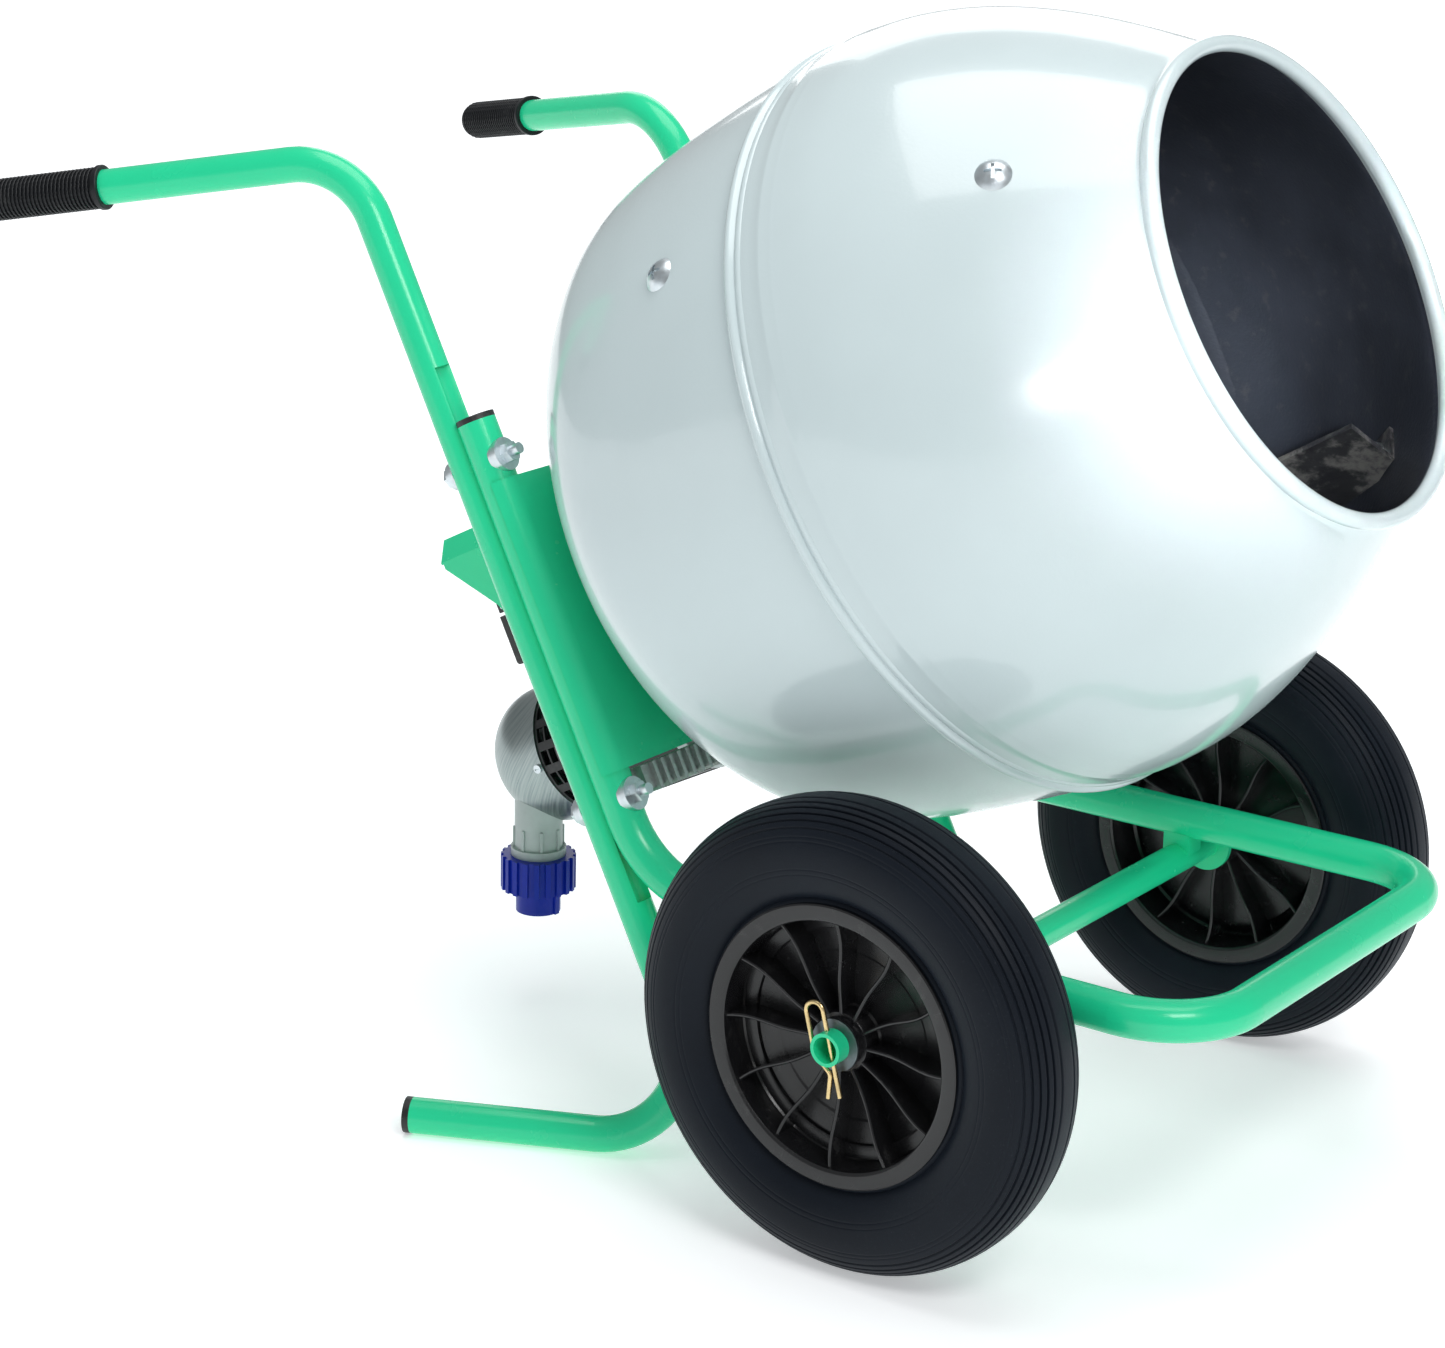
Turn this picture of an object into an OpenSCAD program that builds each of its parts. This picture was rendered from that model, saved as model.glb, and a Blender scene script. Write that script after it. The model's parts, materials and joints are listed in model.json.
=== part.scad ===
// Two-wheeled concrete mixer that is pushed like a barrow and tipped forward to empty.
// Millimetres, +Z up, the drum mouth faces -Y. The origin is on the ground under the middle of
// the machine's length; inside the modules Y is measured from the wheel axle.

/* [Drum] */
// widest diameter, over the seam bead
drum_d = 680; // [650:1:696]
// depth of the rear bowl, base to seam
bowl_depth = 325; // [300:1:340]
// depth of the front cone, seam to rim
cone_depth = 317; // [290:1:340]
// diameter over the rolled mouth rim
mouth_d = 420; // [380:1:450]
// steel sheet of both shells
sheet_t = 2.5; // [2:0.5:4]
// drum axis above horizontal, the posts lean back by the same angle
drum_tilt = 27.5; // [25:0.5:30]
// radial height of a mixing paddle
paddle_h = 60; // [45:1:75]

/* [Frame] */
// spacing of the two side tubes, centre to centre
frame_w = 450; // [430:1:460]
// outside diameter of the bent frame tube
frame_tube_d = 35; // [32:0.5:38]
// outside diameter of the handle and leg tubes
leg_tube_d = 32; // [28:0.5:34]
// wall of every bent tube
tube_wall = 2; // [1.5:0.25:3]
// front bar, ahead of the axle
front_reach = 263; // [250:1:290]
// rear bend, behind the axle
rear_reach = 273; // [265:1:290]
// sloping post, bend to top end
post_length = 430; // [420:1:460]
// drum shaft, up the post from the bend
shaft_rise = 278; // [270:1:285]

/* [Wheels] */
// outside diameter of a tyre
wheel_d = 400; // [380:2:410]
// width of a tyre
tyre_w = 88; // [80:1:92]
// wheel spacing, centre to centre
track_w = 630; // [624:1:660]
// diameter of the through axle
axle_d = 28; // [25:0.5:30]

/* [Handles and feet] */
// height of the handle bend
handle_z = 835; // [800:1:860]
// grip end, behind the axle
grip_reach = 943; // [900:1:980]
// fall of the handle from bend to grip end
handle_drop = 61; // [40:1:80]
// outward spread of each grip and foot end
spread = 118; // [100:1:130]
// foot, corner to end
foot_reach = 257; // [245:1:290]
// length of a rubber grip
grip_length = 118; // [100:1:130]

/* [Drive] */
// diameter of the motor barrel
motor_d = 132; // [126:1:136]
// length of the motor barrel
barrel_length = 124; // [118:1:140]
// depth of the domed motor cover
dome_depth = 86; // [80:1:95]
// teeth of both large gears, 63 with 9-tooth pinions gives 49 to 1
gear_teeth = 63; // [60:3:63]

/* [Switch] */
// width of the rain hood
hood_w = 200; // [180:1:220]
// height of the stop flap over the buttons
flap_h = 57; // [50:1:60]

/* [Hidden] */
$fn = 64;
green = [0.20, 0.78, 0.54];
enamel = [0.88, 0.91, 0.91];
black = [0.10, 0.10, 0.11];
zinc = [0.72, 0.74, 0.75];
cast = [0.66, 0.68, 0.69];
steel = [0.55, 0.57, 0.60];
rubber = [0.07, 0.07, 0.08];
blue = [0.08, 0.16, 0.75];
brass = [0.80, 0.66, 0.36];
copper = [0.72, 0.42, 0.22];

run_fit = 0.06;
slide_gap = 0.3;

// Frame stations.
axle_z = wheel_d / 2;
axle_r = axle_d / 2;
tube_r = frame_tube_d / 2;
leg_r = leg_tube_d / 2;
side_x = frame_w / 2;
saddle_t = 6;
side_z = axle_z + axle_r + saddle_t + tube_r;
post = [0, sin(drum_tilt), cos(drum_tilt)];
ahead = [0, -cos(drum_tilt), sin(drum_tilt)];
post_foot = [0, rear_reach, side_z];
shaft_at = post_foot + shaft_rise * post;
rear_bend_r = 100;
front_bend_r = 75;

// The leg tube is pressed flat against the post, so its centre line sits closer than two radii.
nest = 6.5;
leg_back = tube_r + leg_r - nest;
leg_base = post_foot - leg_back * ahead;
leg_foot = leg_base + ((leg_r - leg_base[2]) / post[2]) * post + [side_x, 0, 0];
leg_head = leg_base + ((handle_z - leg_base[2]) / post[2]) * post + [side_x, 0, 0];
grip_end = [side_x + spread, grip_reach, handle_z - handle_drop];
foot_end = [side_x + spread, leg_foot[1] + foot_reach, leg_r];
handle_bend_r = 78;
foot_bend_r = 75;
crimp_low = -10;
crimp_high = post_length + 57;
bolt_d = 10;
bolt_hole = 10.5;
upper_bolt = post_length - 36 - shaft_rise;
lower_bolt = 80 - shaft_rise;
frame_bolts = [upper_bolt, lower_bolt];
function leg_at(rise) = leg_base + rise * post + [side_x, 0, 0];
washer_t = 2.5;

// Drum stations, measured from the post plane along the drum axis.
base_z = 38;
seam_z = base_z + bowl_depth;
rim_z = seam_z + cone_depth;
bead_r = 6;
shell_r = drum_d / 2 - bead_r;
rim_r = 7;
mouth_r = mouth_d / 2 - rim_r;
bowl_line = [[-1, 0], [-1, 0.449], [-0.955, 0.644], [-0.892, 0.763], [-0.80, 0.853], [-0.677, 0.919],
    [-0.492, 0.958], [-0.308, 0.979], [-0.154, 0.991], [0, 1]];
cone_line = [[0, 0], [0.014, -0.016], [0.139, -0.016], [0.252, 0.03], [0.379, 0.125],
    [0.505, 0.263], [0.631, 0.434], [0.757, 0.635], [0.883, 0.845], [0.962, 0.98], [1, 1]];
bowl_pts = [for (q = bowl_line) [q[1] * shell_r, seam_z + q[0] * bowl_depth]];
cone_pts = [for (q = cone_line) [shell_r + q[1] * (mouth_r - shell_r), seam_z + q[0] * cone_depth]];
paddle_at = 320.5;
bowl_screw_s = -87;
cone_screw_s = 215;
screw_d = 10;
screw_head_d = 30;
screw_head_h = 7;
foot_t = 5;

// Gear train: drum shaft at 0, layshaft and motor below it on the same line.
lay_module = 2.5;
motor_module = 1.5;
pinion_teeth = 9;
backlash = 0.2;
lay_drop = lay_module * (gear_teeth + pinion_teeth) / 2 + backlash;
motor_drop = lay_drop + motor_module * (gear_teeth + pinion_teeth) / 2 + backlash;
shaft_d = 30;
case_front = tube_r;
case_wall = 6;
case_split = -42;
case_back = case_split - case_wall;
sheet = 2;
housing_back = -58;
housing_top = upper_bolt - 20;
housing_low = lower_bolt + 23;
motor_r = motor_d / 2;
shield_t = 12;
barrel_front = case_back - shield_t;
barrel_back = barrel_front - barrel_length;
rear_shield_t = 8;
grille_front = barrel_back - rear_shield_t;
grille_back = grille_front - 24;
dome_back = grille_back - dome_depth;
flange_r = 110;
flange_t = 9;
flange_z = base_z - flange_t;
flange_bolts = 6;
flange_bolt_ring = 85;
gear_w = 20;
lay_gear_w = 13;
motor_shaft_r = 7.5;

// The switch block stands on the housing cover, under the hood.
switch_w = 60;
switch_x = switch_w / 2 + 5 - hood_w / 2;
switch_top = 12;
switch_low = -56;
switch_back = -158;
flap_t = 7.5;
flap_pin_u = 1;
flap_pin_z = switch_back - 8;
button_r = 10;
button_lift = 3.5;
start_u = -16;
stop_u = -41;
hood_back = -213;
hood_top = housing_top - 16;
hood_side = hood_top - 20;

function unit(v) = v / norm(v);

// A round tube laid link by link: each link runs straight, rolls, then bends toward its own +X.
// A bend is a hair thinner than the straights, which run a little way into it.
// Both ends of the whole tube run on by the length `past`.
// link = [straight length, roll, bend angle, bend radius, overlap before, overlap after]
bend_ease = 0.03;
function lap(bend_r) = sqrt(0.02 * bend_r);

module tube_links(links, r, i = 0) {
    q = links[i];
    translate([0, 0, -q[4]])
        cylinder(r = r, h = q[4] + q[0] + q[5], $fn = 48);
    if (q[2] > 0)
        translate([0, 0, q[0]])
            rotate(q[1])
                translate([q[3], 0, 0]) {
                    rotate([90, 0, 180])
                        rotate_extrude(angle = q[2], $fn = 96)
                            translate([q[3], 0])
                                circle(r = r - bend_ease, $fn = 48);
                    rotate([0, q[2], 0])
                        translate([-q[3], 0, 0])
                            tube_links(links, r, i + 1);
                }
}

function roll_to(x, z, aim) = atan2(cross(x, aim) * z, x * aim);

// A rod whose centre line runs through the points p, with one round bend at each inner point.
module tube_path(p, bends, r, past = 0) {
    n = len(p);
    d = [for (i = [0 : n - 2]) unit(p[i + 1] - p[i])];
    turn = [for (i = [0 : n - 1]) (i == 0 || i == n - 1) ? 0 : acos(d[i - 1] * d[i])];
    cut = [for (i = [0 : n - 1]) bends[i] * tan(turn[i] / 2)];
    inward = [for (i = [0 : n - 2]) i == 0 ? d[0] : unit(d[i] - (d[i] * d[i - 1]) * d[i - 1])];
    tip = acos(d[0][2]);
    swing = atan2(d[0][1], d[0][0]);
    first_x = [cos(tip) * cos(swing), cos(tip) * sin(swing), -sin(tip)];
    x = [for (i = [0 : n - 2]) i == 0 ? first_x : cos(turn[i]) * inward[i] - sin(turn[i]) * d[i - 1]];
    links = [for (i = [0 : n - 2])
        [norm(p[i + 1] - p[i]) - cut[i] - cut[i + 1],
         i < n - 2 ? roll_to(x[i], d[i], inward[i + 1]) : 0, turn[i + 1], bends[i + 1],
         i == 0 ? past : lap(bends[i]), i == n - 2 ? past : lap(bends[i + 1])]];
    translate(p[0])
        rotate([0, tip, swing])
            tube_links(links, r);
}

module hollow_tube(p, bends, r) {
    difference() {
        tube_path(p, bends, r);
        tube_path(p, bends, r - tube_wall, 1);
    }
}

// The drive frame: origin where the drum axis meets the post plane, y up the posts, z to the mouth.
module on_drive() {
    translate(shaft_at)
        rotate([90 - drum_tilt, 0, 0])
            children();
}

module on_both_sides() {
    children();
    mirror([1, 0, 0])
        children();
}

module hex_head(across, h) {
    cylinder(d = across / cos(30), h = h, $fn = 6);
}

// A ring made by turning a plain rectangle.
module ring(outer_r, inner_r, h) {
    difference() {
        cylinder(r = outer_r, h = h);
        translate([0, 0, -1])
            cylinder(r = inner_r, h = h + 2);
    }
}

// ---- Frame weldment ----

frame_path = [[-side_x, 0, 0] + post_foot + post_length * post, [-side_x, 0, 0] + post_foot,
    [-side_x, -front_reach, side_z], [side_x, -front_reach, side_z],
    [side_x, 0, 0] + post_foot, [side_x, 0, 0] + post_foot + post_length * post];
frame_bends = [0, rear_bend_r, front_bend_r, front_bend_r, rear_bend_r, 0];

module frame_bolt_holes() {
    on_drive()
        for (sx = [-1, 1], u = frame_bolts)
            translate([sx * side_x, u, -60])
                cylinder(d = bolt_hole, h = 100, $fn = 32);
}

module frame_tube() {
    color(green)
        difference() {
            hollow_tube(frame_path, frame_bends, tube_r);
            frame_bolt_holes();
        }
}

axle_end = track_w / 2 + 43;
pin_x = track_w / 2 + 35;
clip_wire = 2;
clip_lean = 15;

module axle_tube() {
    color(green)
        translate([0, 0, axle_z])
            difference() {
                rotate([0, 90, 0])
                    cylinder(r = axle_r, h = 2 * axle_end, center = true);
                rotate([0, 90, 0])
                    cylinder(r = axle_r - 3, h = 2 * axle_end + 2, center = true);
                on_both_sides()
                    translate([pin_x, 0, 0])
                        rotate([-clip_lean, 0, 0])
                            cylinder(r = clip_wire + 0.25, h = axle_d + 4, center = true, $fn = 32);
            }
}

module axle_saddles() {
    color(green)
        on_both_sides()
            difference() {
                translate([side_x - 12, -13, axle_z])
                    cube([24, 26, side_z - axle_z]);
                translate([0, 0, axle_z])
                    rotate([0, 90, 0])
                        cylinder(r = axle_r, h = frame_w + 60);
                translate([side_x, 0, side_z])
                    rotate([90, 0, 0])
                        cylinder(r = tube_r, h = 60, center = true);
            }
}

hub_in = 40;
hub_out = 26;

module axle_collars() {
    color(green)
        on_both_sides()
            translate([track_w / 2 - hub_in - 6.5, 0, axle_z])
                rotate([0, 90, 0])
                    ring(26, axle_r, 5);
}

// ---- Handles, legs and feet ----

// The leg's own frame: z up the post, the post at -Y.
function in_leg(p) = let (q = p - leg_at(0)) [q[0], -q * ahead, q * post];

module crimp_section(post_side_r) {
    difference() {
        circle(r = leg_r, $fn = 48);
        translate([0, -leg_back])
            circle(r = post_side_r);
    }
}

// Where the leg is pressed against the post, with a closed step at each end of the press.
module crimped_leg() {
    translate([0, 0, crimp_low])
        difference() {
            linear_extrude(height = crimp_high - crimp_low)
                crimp_section(tube_r);
            translate([0, 0, -1])
                linear_extrude(height = crimp_high - crimp_low + 2)
                    difference() {
                        circle(r = leg_r - tube_wall, $fn = 48);
                        translate([0, -leg_back])
                            circle(r = tube_r + tube_wall);
                    }
        }
    for (z = [crimp_low - tube_wall, crimp_high])
        translate([0, 0, z])
            linear_extrude(height = tube_wall)
                difference() {
                    circle(r = leg_r - tube_wall / 2, $fn = 48);
                    difference() {
                        circle(r = leg_r - tube_wall, $fn = 48);
                        translate([0, -leg_back])
                            circle(r = tube_r + tube_wall);
                    }
                }
}

module leg_tube() {
    difference() {
        translate(leg_at(0))
            rotate([-drum_tilt, 0, 0]) {
                hollow_tube([[0, 0, crimp_high], in_leg(leg_head), in_leg(grip_end)],
                    [0, handle_bend_r, 0], leg_r);
                hollow_tube([[0, 0, crimp_low], in_leg(leg_foot), in_leg(foot_end)],
                    [0, foot_bend_r, 0], leg_r);
                crimped_leg();
            }
        frame_bolt_holes();
    }
}

module left_leg_tube() {
    color(green)
        mirror([1, 0, 0])
            leg_tube();
}

module right_leg_tube() {
    color(green)
        leg_tube();
}

module post_caps() {
    color(black)
        on_both_sides()
            translate([side_x, 0, 0] + post_foot + post_length * post)
                rotate([-drum_tilt, 0, 0]) {
                    cylinder(r = tube_r, h = 5);
                    translate([0, 0, -14])
                        cylinder(r = tube_r - tube_wall, h = 15);
                }
}

// Children sit on the tube end with z pointing out of the tube.
module on_tube_end(tip, from) {
    d = unit(tip - from);
    translate(tip)
        rotate([0, acos(d[2]), atan2(d[1], d[0])])
            children();
}

module foot_caps() {
    color(black)
        on_both_sides()
            on_tube_end(foot_end, leg_foot) {
                cylinder(r = leg_r, h = 6);
                translate([0, 0, -14])
                    cylinder(r = leg_r - tube_wall, h = 15);
            }
}

grip_ribs = 27;
rib_pitch = (grip_length - 16) / grip_ribs;

module handle_grips() {
    color(rubber)
        on_both_sides()
            on_tube_end(grip_end, leg_head)
                rotate_extrude()
                    difference() {
                        union() {
                            translate([0, 4 - grip_length])
                                square([leg_r + 2.2, grip_length - 1]);
                            translate([0, 3])
                                square([leg_r + 0.8, 2.5]);
                            translate([0, 4 - grip_length])
                                square([leg_r + 4.5, 5]);
                            for (i = [0 : grip_ribs - 1])
                                translate([0, 13 - grip_length + i * rib_pitch])
                                    square([leg_r + 3.2, rib_pitch * 0.55]);
                        }
                        translate([0, -grip_length])
                            square([leg_r, grip_length]);
                    }
}

// ---- Post bolts ----

head_z = -leg_back - leg_r - washer_t;
nut_z = tube_r + washer_t;

module at_frame_bolts() {
    on_drive()
        for (sx = [-1, 1], u = frame_bolts)
            translate([sx * side_x, u, 0])
                children();
}

module frame_bolts() {
    color(zinc)
        at_frame_bolts() {
            translate([0, 0, head_z - 6.4])
                hex_head(16, 6.4);
            translate([0, 0, head_z - 1])
                cylinder(d = bolt_d, h = nut_z + 17 - head_z, $fn = 32);
        }
}

module frame_washers() {
    color(zinc)
        at_frame_bolts() {
            difference() {
                translate([0, 0, tube_r - 7])
                    cylinder(r = 15, h = 7 + washer_t);
                rotate([90, 0, 0])
                    cylinder(r = tube_r, h = 60, center = true);
                cylinder(d = bolt_hole, h = 60, $fn = 32);
            }
            difference() {
                translate([0, 0, -leg_back - leg_r - washer_t])
                    cylinder(r = 13, h = 6 + washer_t);
                translate([0, 0, -leg_back])
                    rotate([90, 0, 0])
                        cylinder(r = leg_r, h = 60, center = true);
                translate([0, 0, -60])
                    cylinder(d = bolt_hole, h = 60, $fn = 32);
            }
        }
}

module frame_nuts() {
    color(zinc)
        at_frame_bolts()
            translate([0, 0, nut_z])
                difference() {
                    hex_head(16, 8);
                    translate([0, 0, -1])
                        cylinder(d = bolt_d, h = 10, $fn = 32);
                }
}

// ---- Wheels: turned sections have x as radius and y along the axle, outward positive ----

bead_seat = 108;
flange_top = 119.5;
flange_at = 33;
carcass_r = tyre_w / 2;

// Children are built along z and land on the right wheel centre, outward along +X.
module on_wheel() {
    translate([track_w / 2, 0, axle_z])
        rotate([0, 90, 0])
            children();
}

module tyre() {
    rotate_extrude($fn = 120)
        difference() {
            union() {
                translate([wheel_d / 2 - carcass_r, 0])
                    circle(r = carcass_r);
                for (w = [-1, 1])
                    translate([bead_seat, w * 26 - 6])
                        square([14, 12]);
            }
            translate([wheel_d / 2 - carcass_r, 0])
                circle(r = carcass_r - 7);
            translate([0, -20])
                square([bead_seat + 30, 40]);
            translate([0, -60])
                square([bead_seat, 120]);
            for (w = [-1, 1], i = [0 : 5])
                translate([wheel_d / 2 - carcass_r, 0])
                    rotate(w * (10 + i * 9))
                        translate([carcass_r - 2.2, -0.8])
                            square([4, 1.6]);
        }
}

rib_steps = 8;
rib_t = 3;
function rib_turn(q) = 3 * sin(360 * q);
function rib_point(q, side) =
    let (r = 25 + q * (bead_seat - 27), a = rib_turn(q) + side * rib_t / 2 / r * 57.3)
    [r * cos(a), r * sin(a)];

module wheel_ribs() {
    for (i = [0 : 11])
        rotate(i * 30)
            linear_extrude(height = 24)
                polygon(concat([for (k = [0 : rib_steps]) rib_point(k / rib_steps, -1)],
                    [for (k = [rib_steps : -1 : 0]) rib_point(k / rib_steps, 1)]));
}

module wheel_rim() {
    difference() {
        union() {
            rotate_extrude($fn = 120)
                union() {
                    translate([bead_seat - 4, -flange_at - 4])
                        square([4, 2 * flange_at + 8]);
                    for (w = [-1, 1])
                        translate([bead_seat - 4, w * (flange_at + 2) - 2])
                            square([flange_top - bead_seat + 4, 4]);
                    translate([20, 0])
                        square([bead_seat - 20, 4]);
                    translate([72, -4])
                        square([20, 8]);
                    translate([92, 4])
                        square([14, 5]);
                }
            translate([0, 0, 2])
                wheel_ribs();
            translate([0, 0, -hub_in])
                cylinder(r = 25, h = hub_in + 20);
            translate([0, 0, -hub_in])
                cylinder(r = 21, h = hub_in + hub_out);
        }
        translate([0, 0, -hub_in - 1])
            cylinder(r = axle_r + run_fit, h = hub_in + hub_out + 2);
    }
}

module left_wheel_rim() {
    color(black)
        mirror([1, 0, 0])
            on_wheel()
                wheel_rim();
}

module right_wheel_rim() {
    color(black)
        on_wheel()
            wheel_rim();
}

module left_tyre() {
    color(rubber)
        mirror([1, 0, 0])
            on_wheel()
                tyre();
}

module right_tyre() {
    color(rubber)
        on_wheel()
            tyre();
}

module axle_washers() {
    color(zinc)
        on_both_sides()
            translate([track_w / 2 + hub_out + slide_gap, 0, axle_z])
                rotate([0, 90, 0])
                    ring(22, axle_r, 2.5);
}

// Hitch clip: the straight leg goes through the axle, the bowed leg grips round it.
clip_bow = axle_r + clip_wire + 0.6;
clip_wrap = 35;
clip_pinch = 2 * clip_wire + 0.8;
bow_end = [0, clip_bow, -clip_bow * tan(clip_wrap / 2)];
pinch = bow_end - (clip_bow - clip_pinch) / sin(clip_wrap) * [0, sin(clip_wrap), cos(clip_wrap)];
clip_path = [[0, 0, -axle_r - 28], [0, 0, axle_r + 24], [0, clip_bow, axle_r + 24],
    bow_end, pinch, pinch + [0, 7, -20]];
clip_bends = [0, 8, 8, clip_bow, 6, 0];

module axle_clips() {
    color(brass)
        on_both_sides()
            translate([pin_x, 0, axle_z])
                rotate([-clip_lean, 0, 0])
                    tube_path(clip_path, clip_bends, clip_wire);
}

// ---- Drum ----

// Side of a run of points, moved inward by t with mitred corners.
function run_normal(p, i) = let (d = unit(p[i + 1] - p[i])) [-d[1], d[0]];
function inset(p, t) =
    [for (i = [0 : len(p) - 1])
        let (a = run_normal(p, max(i - 1, 0)), b = run_normal(p, min(i, len(p) - 2)))
        p[i] + t * (a + b) / (1 + a * b)];
function back_to_front(p) = [for (i = [len(p) - 1 : -1 : 0]) p[i]];
function wall_r(p, z) = lookup(z, [for (q = p) [q[1], q[0]]]);

bowl_in = inset(bowl_pts, sheet_t);
cone_in = inset(cone_pts, sheet_t);

module at_flange_bolts() {
    for (i = [0 : flange_bolts - 1])
        rotate(i * 360 / flange_bolts + 30)
            translate([flange_bolt_ring, 0, 0])
                children();
}

module seam_bead() {
    rotate_extrude($fn = 144)
        translate([shell_r, seam_z])
            circle(r = bead_r, $fn = 32);
}

module drum_bowl() {
    color(enamel)
        on_drive()
            difference() {
                rotate_extrude($fn = 144)
                    polygon(concat(bowl_pts, back_to_front(bowl_in)));
                seam_bead();
                at_flange_bolts()
                    translate([0, 0, base_z - 1])
                        cylinder(d = bolt_hole, h = 6, $fn = 32);
                at_bowl_screws()
                    translate([0, 0, -10])
                        cylinder(d = screw_d + 0.5, h = 20, $fn = 32);
            }
}

module drum_cone() {
    color(enamel)
        on_drive()
            difference() {
                union() {
                    rotate_extrude($fn = 144)
                        union() {
                            polygon(concat(cone_pts, back_to_front(cone_in)));
                            translate([mouth_r, rim_z])
                                circle(r = rim_r, $fn = 32);
                            for (s = [12, 22, 32])
                                translate([cone_pts[1][0], seam_z + s])
                                    circle(r = 1.4, $fn = 16);
                        }
                    seam_bead();
                }
                at_cone_screws()
                    translate([0, 0, -10])
                        cylinder(d = screw_d + 0.5, h = 20, $fn = 32);
            }
}

module drum_flange() {
    color(cast)
        on_drive()
            difference() {
                union() {
                    translate([0, 0, flange_z])
                        cylinder(r = flange_r, h = flange_t);
                    translate([0, 0, 22])
                        cylinder(r = 24, h = flange_z - 22 + 1);
                }
                translate([0, 0, 20])
                    cylinder(d = shaft_d, h = 30);
                at_flange_bolts()
                    translate([0, 0, flange_z - 1])
                        cylinder(d = bolt_d, h = flange_t + 2, $fn = 32);
            }
}

module drum_flange_bolts() {
    color(zinc)
        on_drive()
            at_flange_bolts() {
                translate([0, 0, flange_z])
                    cylinder(d = bolt_d, h = flange_t + sheet_t + 1, $fn = 32);
                translate([0, 0, base_z + sheet_t])
                    hex_head(16, 6.4);
            }
}

// Screw stations on the drum wall: z points out of the drum, square to the sheet.
function wall_slope(p, z) = atan2(wall_r(p, z + 4) - wall_r(p, z - 4), 8);

module at_wall(p, s) {
    z = seam_z + s;
    slope = wall_slope(p, z);
    for (a = [0, 180])
        rotate(paddle_at + a + 3.4)
            translate([wall_r(p, z), 0, z])
                rotate([0, 90 + slope, 0])
                    children();
}

module at_bowl_screws() {
    at_wall(bowl_pts, bowl_screw_s)
        children();
}

module at_cone_screws() {
    at_wall(cone_pts, cone_screw_s)
        children();
}

module paddle_foot(p, s) {
    z = seam_z + s;
    rotate_extrude(angle = 6.8, $fn = 144)
        polygon([for (q = [[-14, 0], [14, 0], [14, foot_t], [-14, foot_t]])
            [wall_r(p, z + q[0]) - (sheet_t + q[1]) / cos(wall_slope(p, z)), z + q[0]]]);
}

blade_front = seam_z + 0.72 * cone_depth;
blade_rear = seam_z - 0.62 * bowl_depth;
blade_line = [[wall_r(cone_pts, blade_front) - 6, blade_front],
    [wall_r(cone_pts, seam_z + cone_screw_s - 14) - sheet_t - 1, seam_z + cone_screw_s - 14],
    [wall_r(cone_pts, seam_z + 60) - 12, seam_z + 60],
    [wall_r(bowl_pts, seam_z + bowl_screw_s + 14) - sheet_t - 1, seam_z + bowl_screw_s + 14],
    [wall_r(bowl_pts, seam_z + bowl_screw_s - 14) - sheet_t - 1, seam_z + bowl_screw_s - 14],
    [wall_r(bowl_pts, blade_rear) - 14, blade_rear]];

module paddles() {
    color(steel)
        on_drive()
            difference() {
                for (a = [0, 180])
                    rotate(paddle_at + a) {
                        rotate([90, 0, 0])
                            linear_extrude(height = foot_t, center = true)
                                polygon(concat(blade_line,
                                    [blade_line[5] - [paddle_h, 0], blade_line[0] - [paddle_h, 0]]));
                        paddle_foot(bowl_pts, bowl_screw_s);
                        paddle_foot(cone_pts, cone_screw_s);
                    }
                at_bowl_screws()
                    translate([0, 0, -20])
                        cylinder(d = screw_d, h = 30, $fn = 32);
                at_cone_screws()
                    translate([0, 0, -20])
                        cylinder(d = screw_d, h = 30, $fn = 32);
            }
}

// Truss head with a cross recess, seated on z = 0.
module paddle_screw() {
    ball_r = (screw_head_d * screw_head_d / 4 + screw_head_h * screw_head_h) / (2 * screw_head_h);
    difference() {
        intersection() {
            translate([0, 0, screw_head_h - ball_r])
                sphere(r = ball_r);
            cylinder(d = screw_head_d + 2, h = screw_head_h + 1);
        }
        for (a = [0, 90])
            rotate(a)
                translate([-7, -1.4, screw_head_h - 3.5])
                    cube([14, 2.8, 6]);
    }
    translate([0, 0, -24])
        cylinder(d = screw_d, h = 25, $fn = 32);
}

module paddle_screws() {
    color(zinc)
        on_drive() {
            at_bowl_screws()
                paddle_screw();
            at_cone_screws()
                paddle_screw();
        }
}

module paddle_nut() {
    translate([0, 0, -sheet_t - foot_t - 8.4])
        difference() {
            hex_head(16, 8);
            translate([0, 0, -1])
                cylinder(d = screw_d, h = 10, $fn = 32);
        }
}

module paddle_nuts() {
    color(zinc)
        on_drive() {
            at_bowl_screws()
                paddle_nut();
            at_cone_screws()
                paddle_nut();
        }
}

// ---- Gear train ----

// Straight-flanked teeth, thinned for running clearance. One tooth points along +X.
module gear_profile(m, teeth) {
    pitch_r = m * teeth / 2;
    tip_r = pitch_r + 0.9 * m;
    root_r = pitch_r - 1.2 * m;
    half_tip = 57.3 * m * 0.30 / tip_r;
    half_root = 57.3 * m * 0.98 / root_r;
    polygon([for (i = [0 : teeth - 1], q = [[root_r, -half_root], [tip_r, -half_tip],
        [tip_r, half_tip], [root_r, half_root]])
        let (a = i * 360 / teeth + q[1])
        [q[0] * cos(a), q[0] * sin(a)]]);
}

module output_gear() {
    color(steel)
        on_drive()
            translate([0, 0, -gear_w])
                difference() {
                    rotate(180 / gear_teeth - 90)
                        linear_extrude(height = gear_w)
                            gear_profile(lay_module, gear_teeth);
                    translate([0, 0, -1])
                        cylinder(d = shaft_d, h = gear_w + 2);
                    for (w = [-1, gear_w - 5])
                        translate([0, 0, w])
                            ring(lay_module * gear_teeth / 2 - 9, 26, 6);
                }
}

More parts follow.
